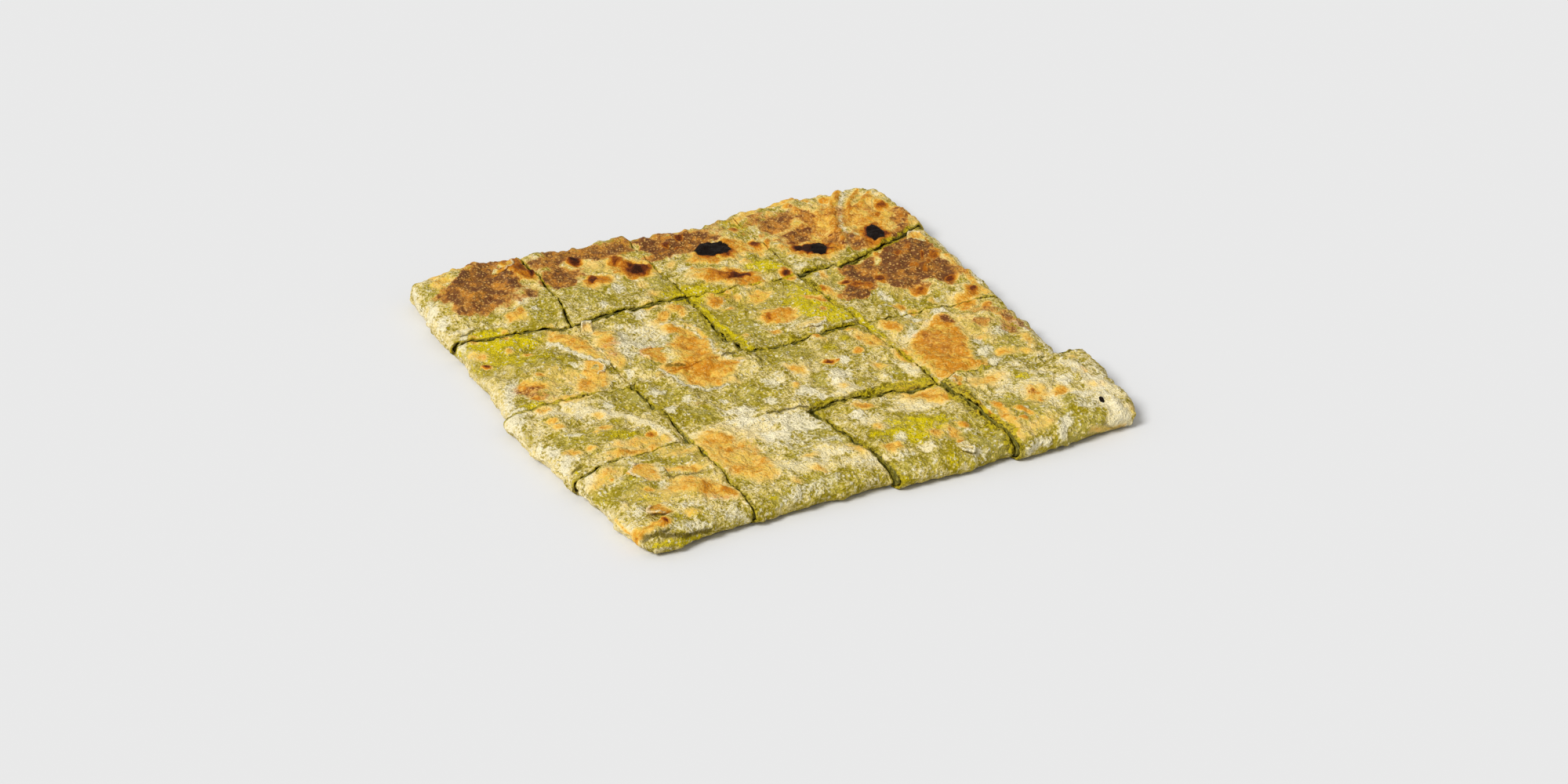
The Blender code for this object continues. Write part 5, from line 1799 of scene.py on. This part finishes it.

# Lines on the sheet: coat, pixels, half width, strength and rise
# The lines of SHADE are painted shade, in cracks and fold mouths and under the edges of flakes
STROKES = (
    (FLOUR, ((843, 415), (880, 420), (907, 433), (912, 449), (947, 460)), 0.8, 0.7, 0.3),
    (FLOUR, ((626, 330), (638, 345), (649, 361)), 0.9, 1, 0.4),
    (GOLD, ((1069, 247), (1061, 266), (1062, 285), (1075, 306)), 1.8, 0.62, 1.6),
    (FLOUR, ((1077, 247), (1070, 268), (1073, 290), (1085, 304)), 1.2, 0.7, 0),
    (GOLD, ((1094, 243), (1082, 262), (1084, 280)), 1.3, 0.56, 1.0),
    (GOLD, ((1108, 247), (1097, 262), (1083, 270)), 1.5, 0.58, 0.9),
    (WET, ((891, 391), (907, 405), (925, 420), (955, 447)), 1.5, 1.0, 0),
    (WET, ((1084, 393), (1103, 414), (1125, 427), (1145, 441)), 1.4, 1.0, 0),
    (EDGE, ((1063, 519), (1094, 504), (1128, 490), (1192, 486)), 1.5, 0.8, -0.6),
    (WET, ((1100, 505), (1140, 490), (1192, 484)), 1.3, 0.9, 0),
    (FLOUR, ((1236, 498), (1262, 520), (1292, 547)), 0.6, 0.55, 0.2),
    (GOLD, ((1230, 498), (1252, 517), (1280, 541)), 0.8, 0.6, 0.4),
    (GOLD, ((814, 687), (829, 677), (848, 667)), 2.6, 0.56, 1.4),
    (SHADE, ((820, 692), (838, 684), (853, 675)), 0.7, 1, -1.2),
    (WET, ((835, 697), (862, 692), (890, 685)), 2.2, 0.8, 0),
    (FLOUR, ((1202, 312), (1229, 335), (1250, 362)), 1.4, 0.7, 0),
    (FLOUR, ((698, 440), (716, 445), (739, 454), (755, 461), (776, 464)), 0.9, 1, 0.3),
    (SHADE, ((588, 429), (604, 422)), 0.7, 0.9, -0.4),
    (SHADE, ((851, 466), (872, 466)), 0.7, 0.9, -0.4),
    (FLOUR, ((842, 472), (873, 491), (901, 498), (929, 490)), 0.9, 0.9, 0.2),
    (FLOUR, ((1097, 407), (1074, 413), (1055, 416), (1032, 408)), 0.7, 0.6, 0.4),
    (FLOUR, ((1289, 409), (1318, 425), (1347, 450)), 1.3, 0.7, 0),
    (PALE, ((710, 513), (733, 520), (766, 526), (796, 530), (829, 541), (862, 561)), 2, 0.95, 0.3),
    (SHADE, ((729, 606), (741, 596)), 0.7, 0.9, -0.4),
    (FLOUR, ((806, 591), (811, 598), (829, 606)), 0.7, 0.9, 0.2),
    (FLOUR, ((803, 591), (816, 601), (830, 606)), 0.7, 0.9, 0.2),
    (SHADE, ((854, 607), (878, 606), (897, 600)), 0.6, 0.9, -0.3),
    (GOLD, ((785, 663), (806, 681)), 0.9, 0.4, 0),
    (SHADE, ((979, 526), (1003, 521), (1030, 519)), 0.7, 1, -0.8),
    (SHADE, ((957, 450), (972, 462)), 0.6, 0.9, -0.5),
    (SHADE, ((923, 452), (938, 450)), 0.6, 0.8, -0.4),
    (SHADE, ((700, 448), (718, 453), (740, 461), (757, 468)), 0.7, 0.5, -0.3),
    (SHADE, ((845, 476), (868, 490), (895, 501), (922, 492)), 0.7, 0.4, -0.3),
    (PALE, ((1153, 441), (1176, 418), (1202, 396), (1214, 402)), 1.1, 0.9, 0),
    (SHADE, ((1233, 424), (1252, 462)), 0.7, 0.4, -0.2),
    (SHADE, ((823, 687), (847, 682), (875, 683), (906, 677)), 1.1, 1, -1),
    (GOLD, ((1247, 525), (1272, 541), (1281, 551)), 1.1, 0.46, 0.3),
    (SHADE, ((1406, 538), (1421, 546), (1435, 549)), 0.7, 0.5, -0.5),
    (GOLD, ((550, 357), (575, 345), (604, 335), (641, 330)), 2.2, 0.36, 0),
    (GOLD, ((940, 281), (972, 268), (1006, 256), (1040, 249)), 2.4, 0.4, 0),
    (GOLD, ((1206, 324), (1232, 348), (1258, 373)), 1.8, 0.42, 0),
    (PALE, ((1358, 462), (1388, 482), (1412, 508), (1420, 528)), 4.0, 0.85, 0),
    (FLOUR, ((1370, 462), (1398, 484), (1420, 512)), 1.4, 0.6, 0.3),
    (GOLD, ((1392, 548), (1416, 546), (1434, 541)), 2.0, 0.34, 0),
)


# Patches with corners of their own: coat, pixels of the corners, strength and rise
SHAPES = (
    # Triangular flake
    (
        GOLD,
        (
            (1202, 397), (1230, 424), (1250, 462), (1225, 478),
            (1202, 484), (1170, 462), (1154, 440), (1180, 420),
        ),
        0.56,
        0.5,
        5.0,
    ),
    # Torn golden flake in the middle
    (
        GOLD,
        (
            (843, 415), (880, 416), (907, 433), (912, 449), (947, 460), (935, 478), (921, 487),
            (894, 497), (868, 484), (843, 471), (867, 455), (849, 440), (862, 427),
        ),
        0.53,
        0.6,
        5.5,
    ),
    # Folded leaf and flakes of the second row
    (
        GOLD,
        ((690, 434), (717, 426), (739, 428), (757, 441), (776, 462), (755, 459), (731, 448), (711, 441)),
        0.42,
        0.6,
    ),
    (GOLD, ((736, 477), (745, 471), (775, 472), (778, 493), (757, 503), (733, 500)), 0.42, 0.4),
    (GOLD, ((754, 422), (780, 423), (794, 442), (797, 458), (787, 470), (773, 461), (761, 447)), 0.38, 0.5),
    # Flakes of the front row
    (GOLD, ((836, 607), (878, 606), (920, 613), (945, 632), (931, 641), (892, 635), (858, 624)), 0.36, 0.5),
    (GOLD, ((878, 562), (920, 557), (976, 574), (998, 604), (976, 618), (934, 607), (906, 590)), 0.38, 0.0),
    (GOLD, ((770, 587), (803, 577), (834, 563), (857, 561), (838, 573), (803, 584), (775, 589)), 0.42, 0.3),
    # Bare filling at the left end of the first cut
    (WET, ((600, 432), (618, 422), (645, 420), (655, 434), (630, 444), (604, 448)), 1.5),
    # Curled flake and the wet leaf beside it
    (GOLD, ((967, 395), (1007, 393), (1020, 406), (1001, 414), (969, 411)), 0.5, 0.5),
    (
        WET,
        ((1015, 363), (1060, 379), (1087, 401), (1097, 406), (1071, 414), (1033, 411), (1007, 390)),
        1.0,
        0.5,
    ),
    # Toasted areas of the back row and of the right column
    (
        TOAST,
        (
            (590, 340), (627, 330), (657, 350), (667, 367), (643, 387), (617, 397), (583, 393),
            (563, 380), (570, 367),
        ),
        0.9,
    ),
    (GOLD, ((630, 333), (657, 325), (687, 353), (683, 360), (657, 353)), 0.78, 0.8),
    (TOAST, ((673, 337), (710, 320), (793, 305), (810, 320), (797, 327), (723, 333), (690, 347)), 0.7),
    (TOAST, ((693, 350), (717, 343), (740, 357), (737, 365), (710, 368), (693, 360)), 0.85),
    (TOAST, ((810, 310), (870, 293), (910, 300), (907, 312), (880, 320), (840, 330), (820, 320)), 0.95),
    (
        TOAST,
        (
            (1148, 291), (1177, 302), (1193, 326), (1223, 345), (1215, 363), (1183, 355), (1167, 371),
            (1135, 366), (1119, 345), (1127, 318),
        ),
        0.95,
    ),
    (
        TOAST,
        ((1073, 345), (1087, 337), (1113, 331), (1121, 345), (1116, 371), (1087, 374), (1076, 366)),
        0.95,
    ),
)


@dataclass
class Katmer:
    """The whole katmer: all leaves of dough and all fillings."""

    camera: PhotoCamera
    spacing: float = 0.6
    quick_spacing: float = 0.9
    base_pale: float = 0.42
    cut_patch: tuple[float, float] = (6.0, 81.0)
    uneven: tuple[float, float] = (-0.5, 0.6)
    least_torn: float = 0.5
    torn_fade: tuple[float, float] = (0.3, 1.6)
    bare_depth: float = 0.45
    bare_reach: tuple[float, float] = (0.1, 0.3)
    # The left noses are painted paler, as painted light on the side that faces the lamp
    left_nose_painted_light: float = 0.2
    lit_nose_reach: tuple[float, float] = (0.1, 0.4)
    # The front noses are painted greener, as painted shade on the side turned from the lamp
    front_nose_painted_shade: float = 0.2
    shaded_nose_reach: tuple[float, float] = (0.15, 0.6)
    front_wet: float = 0.42
    wet_reach: tuple[float, float] = (0.3, 0.8)

    def build(self) -> None:
        """Builds every slice and reports each piece."""
        dough = DoughFinish().material()
        filling = FillingFinish().material()
        forms = [
            SliceForm(row, column)
            for row in range(1, SLICES_EACH_WAY + 1)
            for column in range(1, SLICES_EACH_WAY + 1)
        ]
        spacing = self.spacing
        leaves = [Leaf(form, spacing) for form in forms]
        kneading = Kneading()
        for leaf in leaves:
            kneading.knead(leaf)
            self.prime(leaf)
        marks = (
            *(Patch(coat, *row) for coat, rows in PATCHES.items() for row in rows),
            *(Stroke(*row) for row in STROKES),
            *(Shape(*row) for row in SHAPES),
        )
        Baker(self.camera, marks).paint(leaves)
        pieces = [DoughSlice(leaf).build(dough) for leaf in leaves]
        pieces += [FillingSlice(form).build(filling) for form in forms]
        for piece in pieces:
            log.info("%s: %d faces", piece.name, len(piece.data.polygons))

    def prime(self, leaf: Leaf) -> None:
        """Paints what lies under the marks: pale left noses, green front ones, bare cut edges.

        Args:
            leaf: The leaf, kneaded.
        """
        left = leaf.form.rims["left"] * (leaf.over < 0.0)
        front = leaf.form.rims["front"] * (leaf.up < 0.0)
        # Painted light: the left noses paler
        lit_nose_paint = self.left_nose_painted_light * left * smooth(*self.lit_nose_reach, leaf.nose)
        leaf.coats[Coat.PALE][:] = self.base_pale + lit_nose_paint
        # Painted shade: the front noses greener
        leaf.coats[Coat.GREEN][:] = self.front_nose_painted_shade * front * smooth(*self.shaded_nose_reach, leaf.nose)
        leaf.coats[Coat.WET][:] = self.front_wet * front * smooth(*self.wet_reach, leaf.nose)
        leaf.coats[Coat.EDGE][:] = self.torn_back(leaf)
        on_top = 1.0 - smooth(*self.bare_reach, leaf.nose)
        leaf.raise_by(-self.bare_depth * leaf.coats[Coat.EDGE] * on_top)

    def torn_back(self, leaf: Leaf) -> np.ndarray:
        """How much of the filling shows along the cuts, where the knife pulled the dough back.

        Args:
            leaf: The leaf.

        Returns:
            The share that shows at each of its points.
        """
        across, back = leaf.unrolled.T
        uneven = smooth(*self.uneven, wave(across, back, *self.cut_patch))
        return 1.0 - smooth(*self.torn_fade, leaf.to_cut / (self.least_torn + uneven))


@dataclass
class Studio:
    """A pale floor under soft light."""

    floor_half: float = 6.0
    grey: float = 0.745
    world_strength: float = 0.5
    key_strength: float = 2.7
    key_softness: float = 24.0
    key_azimuth: float = -70.0
    key_elevation: float = 44.0

    def build(self) -> None:
        """Makes the floor, the sky and the lamp."""
        mesh = bmesh.new()
        bmesh.ops.create_grid(mesh, x_segments=1, y_segments=1, size=self.floor_half)
        data = bpy.data.meshes.new("floor")
        mesh.to_mesh(data)
        mesh.free()
        floor = add_object("floor", data)
        shader = Shader("pale_floor")
        shader.set(Base_Color=(self.grey, self.grey, self.grey, 1.0), Roughness=1.0, Specular_IOR_Level=0.0)
        data.materials.append(shader.material)
        world = bpy.data.worlds.new("studio")
        world.use_nodes = True
        sky = world.node_tree.nodes["Background"]
        sky.inputs["Color"].default_value = (1.0, 1.0, 1.0, 1.0)
        sky.inputs["Strength"].default_value = self.world_strength
        bpy.context.scene.world = world
        lamp = bpy.data.lights.new("key", "SUN")
        lamp.energy = self.key_strength
        lamp.angle = math.radians(self.key_softness)
        made = add_object("key", lamp)
        back = Vector(outward(self.key_azimuth, self.key_elevation))
        made.rotation_euler = back.to_track_quat("Z", "Y").to_euler()
        bpy.context.scene.view_settings.view_transform = "Standard"


def main() -> None:
    """Builds the camera, the katmer and the studio."""
    logging.basicConfig(level=logging.INFO, format="%(message)s")
    camera = PhotoCamera()
    camera.add()
    Katmer(camera).build()
    Studio().build()


if __name__ == "__main__":
    main()
